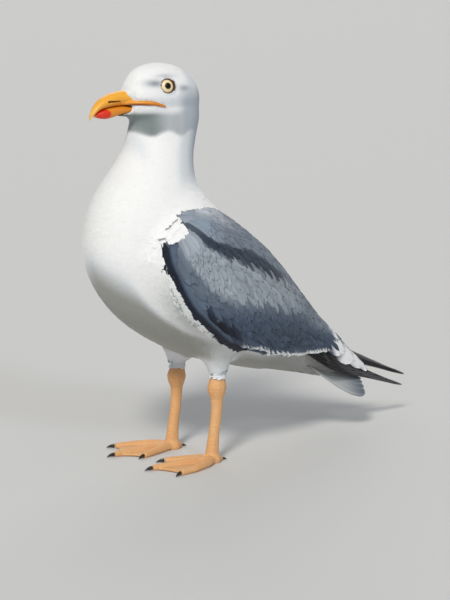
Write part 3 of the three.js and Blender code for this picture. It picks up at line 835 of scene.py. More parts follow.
def face_normals(mesh, normals):
    corners, starts = np.zeros(len(mesh.loops), np.int32), np.zeros(len(mesh.polygons), np.int32)
    mesh.loops.foreach_get("vertex_index", corners)
    mesh.polygons.foreach_get("loop_start", starts)
    return unit(np.add.reduceat(normals[corners], starts, axis=0))


skin_face_normals = face_normals(skin_mesh, skin_normals)


def on_skin(p):
    """The nearest places of the skin, and its normals there."""
    hits = [skin_tree.find_nearest(Vector(q)) for q in p]
    return np.array([hit[0] for hit in hits]), skin_face_normals[[hit[2] for hit in hits]]


def farthest_off_skin(places):
    """For each row of places, how far the one farthest from the skin lies from it."""
    flat = places.reshape(-1, 3)
    return np.linalg.norm(flat - on_skin(flat)[0], axis=1).reshape(places.shape[:2]).max(1)


def march(roots, lengths, steps, turn):
    """Follows the lie of the coat over the skin from each root: places, normals and ways, by step."""
    place, normal = on_skin(roots)
    found = []
    for _ in range(steps):
        way = lie(place)[0]
        way = unit(way - normal * np.sum(way * normal, 1, keepdims=True))
        way = unit(way + np.cross(normal, way) * turn)
        found.append((place, normal, way))
        place, normal = on_skin(place + way * (lengths / (steps - 1))[:, None])
    return (np.stack(values, 1) for values in zip(*found))


# Each face's four corners, with a triangle's last one twice.
skin_corners = np.array([[*face.vertices, face.vertices[-1]][:4] for face in skin_mesh.polygons], np.int32)
skin_areas = np.zeros(len(skin_mesh.polygons))
skin_mesh.polygons.foreach_get("area", skin_areas)


def spread_out(places, gaps):
    """Which of those places to keep so that each lies at least its own gap from all kept before it."""
    cell = gaps.max()
    taken, kept = {}, []
    for i, (place, gap) in enumerate(zip(places.tolist(), gaps.tolist())):
        x, y, z = (int(c // cell) for c in place)
        near = (
            q
            for i_x in (x - 1, x, x + 1)
            for i_y in (y - 1, y, y + 1)
            for i_z in (z - 1, z, z + 1)
            for q in taken.get((i_x, i_y, i_z), ())
        )
        if all(math.dist(q, place) > gap for q in near):
            taken.setdefault((x, y, z), []).append(place)
            kept.append(i)
    return kept


def scatter(faces, spacing, most):
    """Random places on those faces of the skin, at least spacing(place) apart."""
    areas = skin_areas[faces]
    chosen = seed.choice(faces, size=most, p=areas / areas.sum())
    first, second, third, fourth = skin_places[skin_corners[chosen]].transpose(1, 0, 2)
    a, b = seed.random(most)[:, None], seed.random(most)[:, None]
    low, high = first + (second - first) * a, fourth + (third - fourth) * a
    places = low + (high - low) * b
    return places[spread_out(places, spacing(places))]


# Each tuft is a short vane that ends in four loose points.
TUFT_ROWS = [(0.0, 0.5), (0.45, 1.0), (0.85, 0.92)]
TUFT_COLUMNS = [-1, -0.5, 0, 0.5, 1]
TUFT_POINTS = [(-0.74, 0.93), (-0.24, 1.0), (0.26, 1.01), (0.76, 0.92)]
TUFT_ALONG = np.array([row for row, _ in TUFT_ROWS for _ in TUFT_COLUMNS] + [a for _, a in TUFT_POINTS])
TUFT_ACROSS = np.array([b for _ in TUFT_ROWS for b in TUFT_COLUMNS] + [b for b, _ in TUFT_POINTS])
TUFT_GIRTH = np.array([w for _, w in TUFT_ROWS for _ in TUFT_COLUMNS] + [0.92] * 4)
TUFT_FACES = [
    face
    for row in (0, 5)
    for i in range(4)
    for face in ((row + i, row + i + 6, row + i + 1), (row + i, row + i + 5, row + i + 6))
] + [(10 + i, 15 + i, 11 + i) for i in range(4)]
TUFT_END, TUFT_TIP = 12, 16
TUFT_STEPS = 4


def tufts(roots, lengths, widths, lift, turn=0.0):
    """Tufts rooted at those places: vertices, their shares along and their normals."""
    path, normals, ways = march(roots, lengths, TUFT_STEPS, turn)
    sides = np.cross(normals, ways)
    shares = np.repeat(TUFT_ALONG[None], len(roots), 0)
    shares[:, 15:] += seed.uniform(-0.05, 0.05, (len(roots), 4))
    step = np.clip(shares, 0, 1.12) * (TUFT_STEPS - 1)
    low = np.minimum(step.astype(int), TUFT_STEPS - 2)
    part = (step - low)[:, :, None]
    row = np.arange(len(roots))[:, None]
    middle, normal, side = (
        values[row, low] * (1 - part) + values[row, low + 1] * part for values in (path, normals, sides)
    )
    normal, side = unit(normal), unit(side)
    aside = TUFT_ACROSS * TUFT_GIRTH * widths[:, None] / 2
    rise = COAT_ABOVE_SKIN + lift[:, None] * (0.87 * ease(0.0, 0.5, shares) + 0.13 * np.clip(shares, 0, 1))
    rise = rise - 0.06 * np.abs(aside) * np.abs(TUFT_ACROSS)
    return middle + side * aside[:, :, None] + normal * rise[:, :, None], shares, normal


# Half the side of the small patch that each vane takes in the bake's unwrap, at its root's place there.
PATCH_HALF = 0.0015


def vane_piece(name, material, vertices, faces, shares, across, colours, bake, sizes, normals=None, soft=0):
    """One piece of many alike vanes: arrays are by vane and vertex, and faces are those of one vane.

    Softness turns the vanes' normals towards the ones given, so that a coat takes the light as one."""
    count, each = vertices.shape[:2]
    corners = (np.asarray(faces)[None] + (np.arange(count) * each)[:, None, None]).ravel()
    corners_of_face = np.shape(faces)[1]
    mesh = bpy.data.meshes.new(name)
    mesh.vertices.add(count * each)
    mesh.vertices.foreach_set("co", metres(vertices.reshape(-1, 3)).ravel())
    mesh.loops.add(len(corners))
    mesh.loops.foreach_set("vertex_index", corners.astype(np.int32))
    mesh.polygons.add(len(corners) // corners_of_face)
    mesh.polygons.foreach_set("loop_start", np.arange(0, len(corners), corners_of_face, dtype=np.int32))
    mesh.update(calc_edges=True)
    mesh.shade_smooth()
    patch = np.stack([PATCH_HALF * across * np.ones((count, 1)), PATCH_HALF * (2 * shares - 1)], 2)
    barbs = np.stack([across * sizes[:, 1:] / 2, shares * sizes[:, :1]], 2)
    for layer, places in (("OFBake", bake[:, None] + patch), ("Barbs", barbs)):
        mesh.uv_layers.new(name=layer).data.foreach_set("uv", places.reshape(-1, 2)[corners].ravel())
    paint(mesh, colours.reshape(-1, 3))
    if soft:
        own = read(mesh)[1].reshape(count, each, 3)
        own *= np.sign(np.sum(own * normals, 2, keepdims=True))
        mesh.normals_split_custom_set_from_vertices(unit(own * (1 - soft) + normals * soft).reshape(-1, 3))
    mesh.materials.append(material)
    return in_scene(name, mesh)


def feather_finish(name, rough, sheen, barb_depth):
    """Feather: matt vanes with a soft sheen and slanting barbs that break up the light.

    Real barbs stand about 0.3 mm apart, and are drawn twice as far apart so that they show."""
    material, tree, shader = new_material(
        name, Roughness=rough, Sheen_Weight=sheen, Sheen_Roughness=0.5, Specular_IOR_Level=0.25
    )
    tone = node(tree, "ShaderNodeAttribute", {"attribute_name": "plumage"})
    place = node(tree, "ShaderNodeUVMap", {"uv_map": "Barbs"})
    parts = node(tree, "ShaderNodeSeparateXYZ", links={"Vector": place.outputs["UV"]})
    aside = node(tree, "ShaderNodeMath", {"operation": "ABSOLUTE"}, {0: parts.outputs["X"]})
    slant = node(tree, "ShaderNodeMath", {"operation": "MULTIPLY_ADD"},
                 {0: aside.outputs["Value"], 1: -1.1, 2: parts.outputs["Y"]})
    spread = node(tree, "ShaderNodeCombineXYZ", links={"X": slant.outputs["Value"], "Y": parts.outputs["X"]})
    squeeze = node(tree, "ShaderNodeVectorMath", {"operation": "MULTIPLY"},
                   {0: spread.outputs["Vector"], 1: (1.6, 0.12, 1)})
    barbs = node(tree, "ShaderNodeTexNoise",
                 links={"Vector": squeeze.outputs["Vector"], "Scale": 1.0, "Detail": 2.0})
    dimming = {"From Min": 0.3, "From Max": 0.7, "To Min": 0.9, "To Max": 1.04}
    dim = node(tree, "ShaderNodeMapRange", links={"Value": barbs.outputs["Fac"], **dimming})
    shaded = node(tree, "ShaderNodeVectorMath", {"operation": "SCALE"},
                  {"Vector": tone.outputs["Color"], "Scale": dim.outputs["Result"]})
    tree.links.new(shaded.outputs["Vector"], shader.inputs["Base Color"])
    bump = node(tree, "ShaderNodeBump",
                links={"Height": barbs.outputs["Fac"], "Distance": barb_depth * MM, "Strength": 0.5})
    tree.links.new(bump.outputs["Normal"], shader.inputs["Normal"])
    return material


def small_length(p):
    """The length of the contour feathers that grow at each place, in millimetres."""
    x, y, z = p.T
    length = 4.2 + 1.4 * ease(316, 296, z) + 1.2 * ease(290, 240, z) + 2.4 * ease(235, 150, z)
    length -= 2.0 * ease(42, 62, x) * ease(300, 308, z)
    length += 10 * ease(-30, -110, x)
    length += (6.5 - length) * ease(104, 92, z) * ease(-30, -16, x)
    length += 8 * np.exp(-(((x + 44) / 15) ** 2)) * ease(104, 90, z)
    from_eye = np.hypot(x - EYE_MIDDLE[0], z - EYE_MIDDLE[2])
    length -= (length - 2.2) * ease(14, 8, from_eye) * (np.abs(y) > 12)
    shoulder = ease(-17, -3, behind_shoulder(p)) * ease(190, 200, z) * ease(12, 24, np.abs(y))
    return length * (1 - 0.2 * ease(300, 285, z)) + 6 * shoulder


def lies_close(vertices, lift):
    """True where a tuft's end hasn't run off the skin at a crease."""
    return farthest_off_skin(vertices[:, [TUFT_END, TUFT_TIP]]) < lift + 1.6


bill_tree = tree_of(upper_mesh, lower_mesh)


def from_bill(p):
    """The distance from each place to the bill, or 9 where that is over 6 millimetres."""
    return np.array([bill_tree.find_nearest(Vector(q), 6.0)[3] or 9.0 for q in p])


def near_features(p, clear):
    """True where feathers would cover the eyes or the bill."""
    hidden = (from_bill(p) < clear) & (p[:, 0] > HEAD_MIDDLE[0] + 10)
    for side in (1, -1):
        middle, forward, up, out = eye_frame(side)
        off = p - middle
        over_eye = np.hypot(off @ forward / (LID_OPENING[0] + 0.8), off @ up / (LID_OPENING[1] + 0.8)) < 1
        hidden |= over_eye & (off @ out > 0)
    return hidden


# Body feathers are loose and downy at the edge: quite matt, with the softest sheen.
soft_white = feather_finish("white_contour_feathers", rough=0.8, sheen=0.3, barb_depth=0.06)
feathered = np.flatnonzero(finish == DOWNY)
feathered_middles = face_middles[feathered]
face_is_slate = (nearness(feathered_middles) > 0) & (behind_shoulder(feathered_middles) > -6)
edge_gap, edge_white = from_front(feathered_middles)
white_faces = ~face_is_slate | (edge_gap < edge_white)
heights = feathered_middles[:, 2]
# Each part of the white coat, by the heights it spans, the spacing of its feathers and the most of them.
for name, bottom, top, spacing, most in (
    ("coat_of_head", 292, 400, 0.25, 70000),
    ("coat_of_neck", 222, 292, 0.24, 120000),
    ("coat_of_breast", 165, 222, 0.23, 120000),
    ("coat_of_belly", 0, 165, 0.24, 160000),
):
    zone = (heights > bottom) & (heights <= top)
    roots = scatter(feathered[zone & white_faces], lambda p: small_length(p) * spacing, most)
    lengths = small_length(roots) * seed.uniform(0.85, 1.2, len(roots))
    # Beside the bill they are shorter and lie flatter, and none covers it or the eyes.
    by_bill = ease(4.5, 1.2, from_bill(roots))
    lengths *= 1 - 0.38 * by_bill
    x, _, z = roots.T
    clear = 0.8 - 0.4 * ease(312, 318, z) + 1.4 * ease(310, 305, z) * ease(54, 58, x)
    reach = roots + unit(lie(roots)[0]) * (lengths * 0.7)[:, None]
    keep = ~near_features(reach, clear) & ~near_features(roots, np.maximum(clear - 0.65, 0.1))
    roots, lengths, by_bill = roots[keep], lengths[keep], by_bill[keep]
    x, _, z = roots.T
    widths = lengths * (0.6 + 0.1 * ease(300, 240, z))
    lift = coat_depth(roots) * 0.85 * seed.uniform(0.94, 1.04, len(roots)) * (1 - 0.5 * by_bill)
    # At the mantle's edge they are fuller and narrower, and behind the thighs they are fullest.
    at_shoulder = ease(-18, -5, behind_shoulder(roots)) * ease(188, 200, z)
    lift += 0.75 * at_shoulder + 1.6 * np.exp(-(((x + 50) / 14) ** 2)) * ease(104, 90, z)
    widths *= 1 - 0.35 * at_shoulder
    turn = seed.normal(0, 0.1, (len(roots), 1))
    # Along the wing's front edge they are narrower and flatter, and take the light more as one surface.
    on_flank = ease(26, 10, from_front(roots)[0]) * ease(215, 205, z)
    lift *= 1 - 0.4 * on_flank
    widths *= 1 - 0.3 * on_flank
    vertices, shares, normals = tufts(roots, lengths, widths, lift, turn)
    places = vertices.reshape(-1, 3)
    smooth = from_middle(places).reshape(vertices.shape)
    smoothed = np.maximum(0.35 * on_flank, 0.4 * at_shoulder)[:, None, None]
    normals = unit(normals + (smooth - normals) * smoothed)
    # Those that stray over the slate, or run off the skin at a crease, are left out.
    tips = vertices[:, TUFT_TIP]
    tip_gap, tip_white = from_front(tips)
    strays = (nearness(tips) > 1.5) & (tips[:, 2] < 196) & (tip_gap > tip_white + 1.5)
    keep = ~strays & lies_close(vertices, lift)
    colours = white_plumage(places).reshape(vertices.shape)
    # Low on the flank, beside the wing, they are greyed with painted shade to match the shaded belly.
    colours += (linear("#CDD2D2") - colours) * (0.7 * on_flank * ease(205, 150, z))[:, None, None]
    # Each differs a little in tone, and is a little darker at its root.
    colours *= seed.normal(1.0, 0.01, len(roots))[:, None, None]
    colours *= (0.96 + 0.04 * ease(0.0, 0.6, shares))[:, :, None]
    coat = vane_piece(
        name, soft_white, vertices[keep], TUFT_FACES, shares[keep], TUFT_ACROSS, colours[keep],
        bake_places(roots[keep]), np.stack([lengths, widths], 1)[keep], normals[keep], soft=0.9,
    )
    show(coat, "white_plumage")

# The mantle's feathers are larger, stiffer and slate grey, with painted light over the shoulder, painted
# shade further back, and deep painted shade, nearly black, along the wing's front edge.
MANTLE_PAINTED_LIGHT, MANTLE_PAINTED_SHADE = linear("#99A4B1"), linear("#5A697D")
EDGE_PAINTED_SHADE, DEEP_PAINTED_SHADE = linear("#56657A"), linear("#131B2B")
mantle_tree, wing_tree = packed_tree(["mantle"]), packed_tree(["wing_left", "wing_right"])
slate_faces = feathered[face_is_slate & (edge_gap > edge_white - 0.5)]
roots = scatter(slate_faces, lambda p: 4.0 - 1.7 * ease(24, 16, from_front(p)[0]), 60000)
roots = roots[behind_shoulder(roots) > seed.uniform(-4, 1.5, len(roots))]
# None grows far under the wing feathers, where it would never show.
off_mantle = nearer(roots, wing_tree, mantle_tree)
at_top = (behind_shoulder(roots) < 16) & (roots[:, 2] > 198)
roots = roots[(off_mantle < 5) | at_top | (from_front(roots)[0] < 22)]
# Along the wing's front edge they are short, narrow and flat.
near_edge = ease(24, 16, from_front(roots)[0])
lengths = (13 + 7 * ease(0, 60, behind_shoulder(roots))) * (1 - near_edge) + 8.5 * near_edge
widths = lengths * (0.5 - 0.12 * near_edge)
lift = 2.0 - 1.1 * near_edge
vertices, shares, normals = tufts(roots, lengths, widths, lift)
keep = lies_close(vertices, lift)
vertices, shares, normals, roots = vertices[keep], shares[keep], normals[keep], roots[keep]
places = vertices.reshape(-1, 3)
gap, white = from_front(places)
at_front = ease(222, 205, places[:, 2])
# Painted light over the shoulder, painted shade further back, and painted shade deepening to nearly black low
# along the wing's front edge.
colours = layered(
    MANTLE_PAINTED_LIGHT,
    (MANTLE_PAINTED_SHADE, ease(10, 80, behind_shoulder(places))),
    (EDGE_PAINTED_SHADE, ease(24, 14, gap) * at_front),
    (DEEP_PAINTED_SHADE, ease(white + 9, white + 5, gap) * at_front * (gap < 24)),
).reshape(vertices.shape)
colours *= seed.normal(1.0, 0.05, len(roots))[:, None, None]
colours *= (0.9 + 0.14 * ease(0.3, 1.0, shares))[:, :, None]
# Slate feathers of the back are firmer than the white ones: a little smoother, with less sheen.
slate_contour = feather_finish("slate_contour_feathers", rough=0.7, sheen=0.15, barb_depth=0.15)
coat = vane_piece(
    "coat_of_mantle", slate_contour, vertices, TUFT_FACES, shares, TUFT_ACROSS, colours,
    bake_places(roots), np.stack([lengths, widths], 1)[keep], normals, soft=0.7,
)
show(coat, "grey_plumage")

# ---- Wings ----
# The folded wing, feather by feather: rows of small coverts from the front edge, the long scapulars
# that lie over them from the shoulder, the greater coverts, the secondaries with their white tips, and
# the broad tertials that end in a white crescent. Each is a thin stiff vane on a shaft.
RIGHT_OVER_LEFT = [0, 0, 0, 0, 0, 2, 6, 10]
RIGHT_FORWARD = [0, 0, 0, 0, 0, 0, 4, 16]
SHEET_T = np.linspace(0, 1.06, 160)
SHEET_V = np.linspace(-0.06, 1.2, 110)


def wing_sheet(side):
    """A grid of places over one folded wing, from shoulder to tip and from upper to lower edge."""
    stations = np.array([[*upper, *lower, bulge, thick] for upper, lower, bulge, thick in WING], float)
    if side < 0:
        stations[:, (2, 5)] += np.array(RIGHT_OVER_LEFT)[:, None]
        stations[:, (0, 3)] += np.array(RIGHT_FORWARD)[:, None]
    stations[:, (1, 4)] *= side
    inside = np.minimum(SHEET_T, 1)
    beyond = (SHEET_T - inside)[:, None]
    line = smooth_curve(stations, inside)
    line += beyond * (line[-1] - smooth_curve(stations, np.array([0.97]))[0]) / 0.03
    upper, lower, bulge, thick = np.split(line[:, None], (3, 6, 7), 2)
    share = (1 - 2 * SHEET_V)[None, :, None]
    ahead = np.gradient(line[:, :3] + line[:, 3:6], axis=0)
    out = unit(np.cross(line[:, :3] - line[:, 3:6], ahead))
    out *= np.sign(out @ np.array([0, side, 0.6]))[:, None]
    swell = bulge * (1 - share**2) + thick / 2 * np.maximum(1 - share**4, 0) ** 0.7
    grid = (upper + lower) / 2 + (upper - lower) / 2 * share + out[:, None] * swell
    # Where the wing lies against the body it keeps 2.2 to 4.2 mm off the skin.
    flat = grid.reshape(-1, 3)
    places, normals = on_skin(flat)
    off = flat - places
    height = np.clip(np.sum(off * normals, 1), 2.2, 4.2)
    on_body = ease(-118, -106, flat[:, 0]) * (np.linalg.norm(off, axis=1) < 14)
    grid = (flat + (places + normals * height[:, None] - flat) * on_body[:, None]).reshape(grid.shape)
    # Towards the tip its lower edge runs on straight.
    row, end = np.searchsorted(SHEET_V, (0.88, 1.0))
    depth = np.linalg.norm(grid[:, end] - grid[:, row], axis=1)
    slope = unit(grid[:, row] - grid[:, row - 8]) * depth[:, None]
    reach = (SHEET_V[row:] - SHEET_V[row]) / (SHEET_V[end] - SHEET_V[row])
    straight = grid[:, row, None] + slope[:, None] * reach[None, :, None]
    grid[:, row:] += (straight - grid[:, row:]) * ease(0.34, 0.5, SHEET_T)[:, None, None]
    for _ in range(6):
        middle = grid[1:-1, 1:-1]
        middle += 0.5 * ((grid[2:, 1:-1] + grid[:-2, 1:-1] + grid[1:-1, 2:] + grid[1:-1, :-2]) / 4 - middle)
    along, down = np.gradient(grid, SHEET_T, SHEET_V, axis=(0, 1))
    normal = unit(np.cross(along, down))
    normal *= np.sign(np.sum(normal * out[:, None], 2, keepdims=True))
    return np.concatenate([grid, along, down, normal], 2)


def read_sheet(sheet, t, v):
    """A wing's place, its change with t and with v, and its normal, at each t and v."""
    x = np.clip((t - SHEET_T[0]) / (SHEET_T[-1] - SHEET_T[0]), 0, 1) * (len(SHEET_T) - 1)
    y = np.clip((v - SHEET_V[0]) / (SHEET_V[-1] - SHEET_V[0]), 0, 1) * (len(SHEET_V) - 1)
    i, j = np.minimum(x.astype(int), len(SHEET_T) - 2), np.minimum(y.astype(int), len(SHEET_V) - 2)
    f, g = (x - i)[..., None], (y - j)[..., None]
    near = sheet[i, j] * (1 - g) + sheet[i, j + 1] * g
    far = sheet[i + 1, j] * (1 - g) + sheet[i + 1, j + 1] * g
    values = near * (1 - f) + far * f
    return values[..., 0:3], values[..., 3:6], values[..., 6:9], unit(values[..., 9:12])


def steer(along, down, step):
    """The change of t and v that makes a step in millimetres over the sheet."""
    e, f, g = np.sum(along * along, -1), np.sum(along * down, -1), np.sum(down * down, -1)
    a, b = np.sum(along * step, -1), np.sum(down * step, -1)
    room = e * g - f * f
    return np.stack([(a * g - b * f) / room, (b * e - a * f) / room], -1)


# A vane is nine rows from root to tip. Each row is a ring of eight: five over its top and three under.
VANE_ALONG = np.array([0, 0.1, 0.28, 0.48, 0.66, 0.8, 0.9, 0.965, 1.0])
VANE_GIRTH = np.array([0.35, 0.75, 0.97, 1.0, 0.98, 0.88, 0.7, 0.45, 0.1])
POINTED_GIRTH = np.array([0.35, 0.75, 0.97, 1.0, 0.93, 0.78, 0.56, 0.32, 0.05])
RING_ACROSS = np.array([-1, -0.55, 0, 0.55, 1, 0.55, 0, -0.55])
RING_UNDER = np.array([0, 0, 0, 0, 0, 1, 1, 1])
SHAFT_RISE = 0.3 * (RING_ACROSS == 0) * (1 - RING_UNDER)
VANE_SHARES, VANE_ACROSS = np.repeat(VANE_ALONG, 8), np.tile(RING_ACROSS, 9)
VANE_FACES = [
    (8 * row + i, 8 * row + (i + 1) % 8, 8 * row + 8 + (i + 1) % 8, 8 * row + 8 + i)
    for row in range(8)
    for i in range(8)
]
VANE_FACES += [(0, 7, 6, 1), (1, 6, 5, 2), (2, 5, 4, 3), (64, 65, 70, 71), (65, 66, 69, 70), (66, 67, 68, 69)]
TURNED_FACES = [face[::-1] for face in VANE_FACES]
ROOT, HALFWAY, NEAR_TIP, NEARER_TIP, TIP = (8 * row + 2 for row in (0, 4, 5, 7, 8))


def vanes(sheet, t, v, heading, lengths, widths, low, high, backwards=False, ragged=0.03, girth=VANE_GIRTH):
    """Vanes on a wing: vertices, shares along, normals, and t and v, by vane and vertex.

    Roots are at t and v, or tips when it runs backwards. The heading is in radians below the way to
    the wing's tip, and each vane rises from low at its root to high at its tip."""
    # The shaft is followed over the wing from its root, or back from its tip.
    count, rows = len(t), len(VANE_ALONG)
    steps = np.diff(VANE_ALONG)
    track = np.zeros((count, rows, 2))
    track[:, rows - 1 if backwards else 0] = np.stack([t, v], 1)
    for i in range(rows - 2, -1, -1) if backwards else range(rows - 1):
        here, there, sign = (i + 1, i, -1) if backwards else (i, i + 1, 1)
        _, along, down, _ = read_sheet(sheet, track[:, here, 0], track[:, here, 1])
        level = unit(along)
        over = unit(down - level * np.sum(down * level, 1, keepdims=True))
        way = level * np.cos(heading)[:, None] + over * np.sin(heading)[:, None]
        track[:, there] = track[:, here] + steer(along, down, way * (sign * lengths * steps[i])[:, None])
    place, along, down, normal = read_sheet(sheet, track[..., 0], track[..., 1])
    way = unit(np.gradient(place, axis=1))
    side = unit(np.cross(normal, way))
    aside = (widths / 2)[:, None, None] * girth[None, :, None] * RING_ACROSS
    # The edges are ragged towards the tip, and the underside follows the top.
    slip = seed.uniform(-ragged, ragged, (count, 1, 8)) * ease(0.55, 1, VANE_ALONG)[None, :, None]
    slip[..., 5:] = slip[..., 3:0:-1]
    step = side[:, :, None] * aside[..., None] + way[:, :, None] * (slip * lengths[:, None, None])[..., None]
    at = track[:, :, None] + steer(along[:, :, None], down[:, :, None], step)
    spot, _, _, up = read_sheet(sheet, at[..., 0], at[..., 1])
    # The vane is tilted so that one edge lies over its neighbour, and its shaft stands proud.
    rise = (low[:, None] + (high - low)[:, None] * VANE_ALONG[None] ** 1.2)[..., None]
    rise = rise + 0.35 * RING_ACROSS - 0.3 * RING_UNDER - 0.25 * RING_ACROSS**2 + SHAFT_RISE
    vertices = (spot + up * rise[..., None]).reshape(count, rows * 8, 3)
    normals = (up * (1 - 2 * RING_UNDER)[:, None]).reshape(vertices.shape)
    at_t, at_v = at.reshape(count, rows * 8, 2).transpose(2, 0, 1)
    return vertices, np.tile(VANE_SHARES, (count, 1)), normals, at_t, at_v


def scapular_edge(t):
    """How far down the wing the scapulars reach, as v."""
    return 0.5 - 0.16 * ease(0.2, 0.42, t) - 0.34 * ease(0.4, 0.68, t)


# The middle and half width of the painted shadow under the scapulars' edge, and the lower edge of the band of
# painted light below it.
BAND_T = [0.0, 0.1, 0.15, 0.2, 0.25, 0.32, 0.4, 0.45, 0.52]
BAND_V = [0.44, 0.46, 0.47, 0.46, 0.425, 0.415, 0.4, 0.37, 0.3]
BAND_HALF = [0.03, 0.04, 0.05, 0.055, 0.07, 0.075, 0.06, 0.045, 0.02]
LIT_BAND_END_T = [0.0, 0.1, 0.15, 0.25, 0.35, 0.4, 0.45, 0.5, 0.57, 0.65, 0.72, 0.8]
LIT_BAND_END_V = [0.74, 0.75, 0.77, 0.79, 0.78, 0.73, 0.68, 0.64, 0.56, 0.54, 0.52, 0.42]
SNOW = linear("#F4F6F8")


def wing_tone(t, v):
    """The slate of the wing, with painted light and shade: painted light over the shoulder and in a band
    under the painted shadow of the scapulars' edge, painted shade deepening towards the lower edge, and deep
    painted shade, nearly black, along the front edge."""
    past_band = v - np.interp(t, BAND_T, BAND_V)
    past_lit_band = v - np.interp(t, LIT_BAND_END_T, LIT_BAND_END_V)
    half = np.interp(t, BAND_T, BAND_HALF)
    above = ease(0.0, 0.03, -past_band)
    pale = ease(-0.02, 0.02, past_band) * ease(0.02, -0.02, past_lit_band) * ease(0.64, 0.5, t)
    deep = (0.5 + 0.5 * ease(0.16, 0.4, t)) * (0.55 + 0.45 * ease(0.02, 0.12, past_lit_band))
    scapular_shadow = ease(half + 0.012, half - 0.012, np.abs(past_band))
    scapular_shadow *= ease(0.07, 0.13, t) * ease(0.52, 0.44, t)
    # The slate, with painted light near the shoulder and in the band, painted shade low on the wing and in
    # streaks there, the painted shadow under the scapulars, and deep painted shade along the front edge.
    return layered(
        linear("#74808E"),
        (linear("#8896A5"), above * ease(0.24, 0.16, t)),
        (linear("#B4BAC4"), above * ease(0.22, 0.14, v) * ease(0.3, 0.16, t)),
        (linear("#9AA4AE"), pale),
        (linear("#46566B"), ease(-0.01, 0.02, past_lit_band) * deep),
        (linear("#333F4D"), 0.35 * ease(0.45, 0.55, t) * ease(0.08, 0.2, past_lit_band)),
        (linear("#333F4D"), scapular_shadow),
        (DEEP_PAINTED_SHADE, ease(0.88, 0.91, v) * ease(0.5, 0.4, t) * ease(0.08, 0.14, t)),
    )


def tract(sheet, t, v, heading, lengths, widths, low, high, white_tip=None, streak=0.09, **more):
    """One kind of feather on a wing, without those that have run off the body, as vane_piece takes it.

    Each is mostly the tone of the place near its tip, and some are tipped with white."""
    ones = np.ones(len(t))
    lengths, widths = lengths * ones, widths * ones
    parts = vanes(sheet, t, v, heading * ones, lengths, widths, low * ones, high * ones, **more)
    off_skin = farthest_off_skin(parts[0][:, [HALFWAY, NEARER_TIP, TIP]])
    keep = (off_skin < 9) | (parts[0][:, HALFWAY, 0] < -95)
    vertices, shares, normals, at_t, at_v = (values[keep] for values in parts)
    flat = wing_tone(at_t.ravel(), at_v.ravel()).reshape(vertices.shape)
    colours = flat + (flat[:, NEAR_TIP, None] - flat) * 0.8
    colours = colours * seed.normal(1.0, streak, (len(flat), 1, 1))
    colours = colours * (0.88 + 0.14 * ease(0.1, 0.8, shares))[..., None]
    colours = colours * (1 + 0.12 * VANE_ACROSS)[None, :, None]
    if white_tip is not None:
        edge = 1 - (white_tip * ones)[keep, None] * seed.uniform(0.85, 1.15, shares.shape)
        colours = colours + (SNOW - colours) * ease(-0.012, 0.012, shares - edge)[..., None]
    sizes = np.stack([lengths, widths], 1)[keep]
    return vertices, shares, normals, colours, bake_places(vertices[:, ROOT]), sizes


# Wing feathers are firm and close: smoother than the coat's, so that their edges catch the light.
wing_finish = feather_finish("slate_wing_feathers", rough=0.62, sheen=0.06, barb_depth=0.2)
COVERTS_END_T = [0, 0.3, 0.4, 0.5, 0.6, 0.72]
COVERTS_END_V = [0.86, 0.86, 0.82, 0.72, 0.6, 0.5]
# The wing's length and depth in millimetres, for the spacing of its small feathers.
WING_SPAN, WING_DEPTH = 330, 130
# Rows of greater coverts: first and last t, how many, v, its fall, length, width, and height at the tip.
GREATER_COVERTS = (
    (0.36, 0.84, 56, 0.925, 0.1, 46, 7.0, -0.35),
    (0.37, 0.8, 52, 0.86, 0.18, 44, 7.0, 0.0),
    (0.39, 0.76, 46, 0.79, 0.24, 40, 7.0, 0.2),
)
# The ends of the secondaries, as v, by t.
ENDS_T, ENDS_V = [0.48, 0.55, 0.65, 0.7, 0.75, 0.8, 0.86], [0.958, 0.973, 0.985, 0.99, 0.98, 0.95, 0.86]
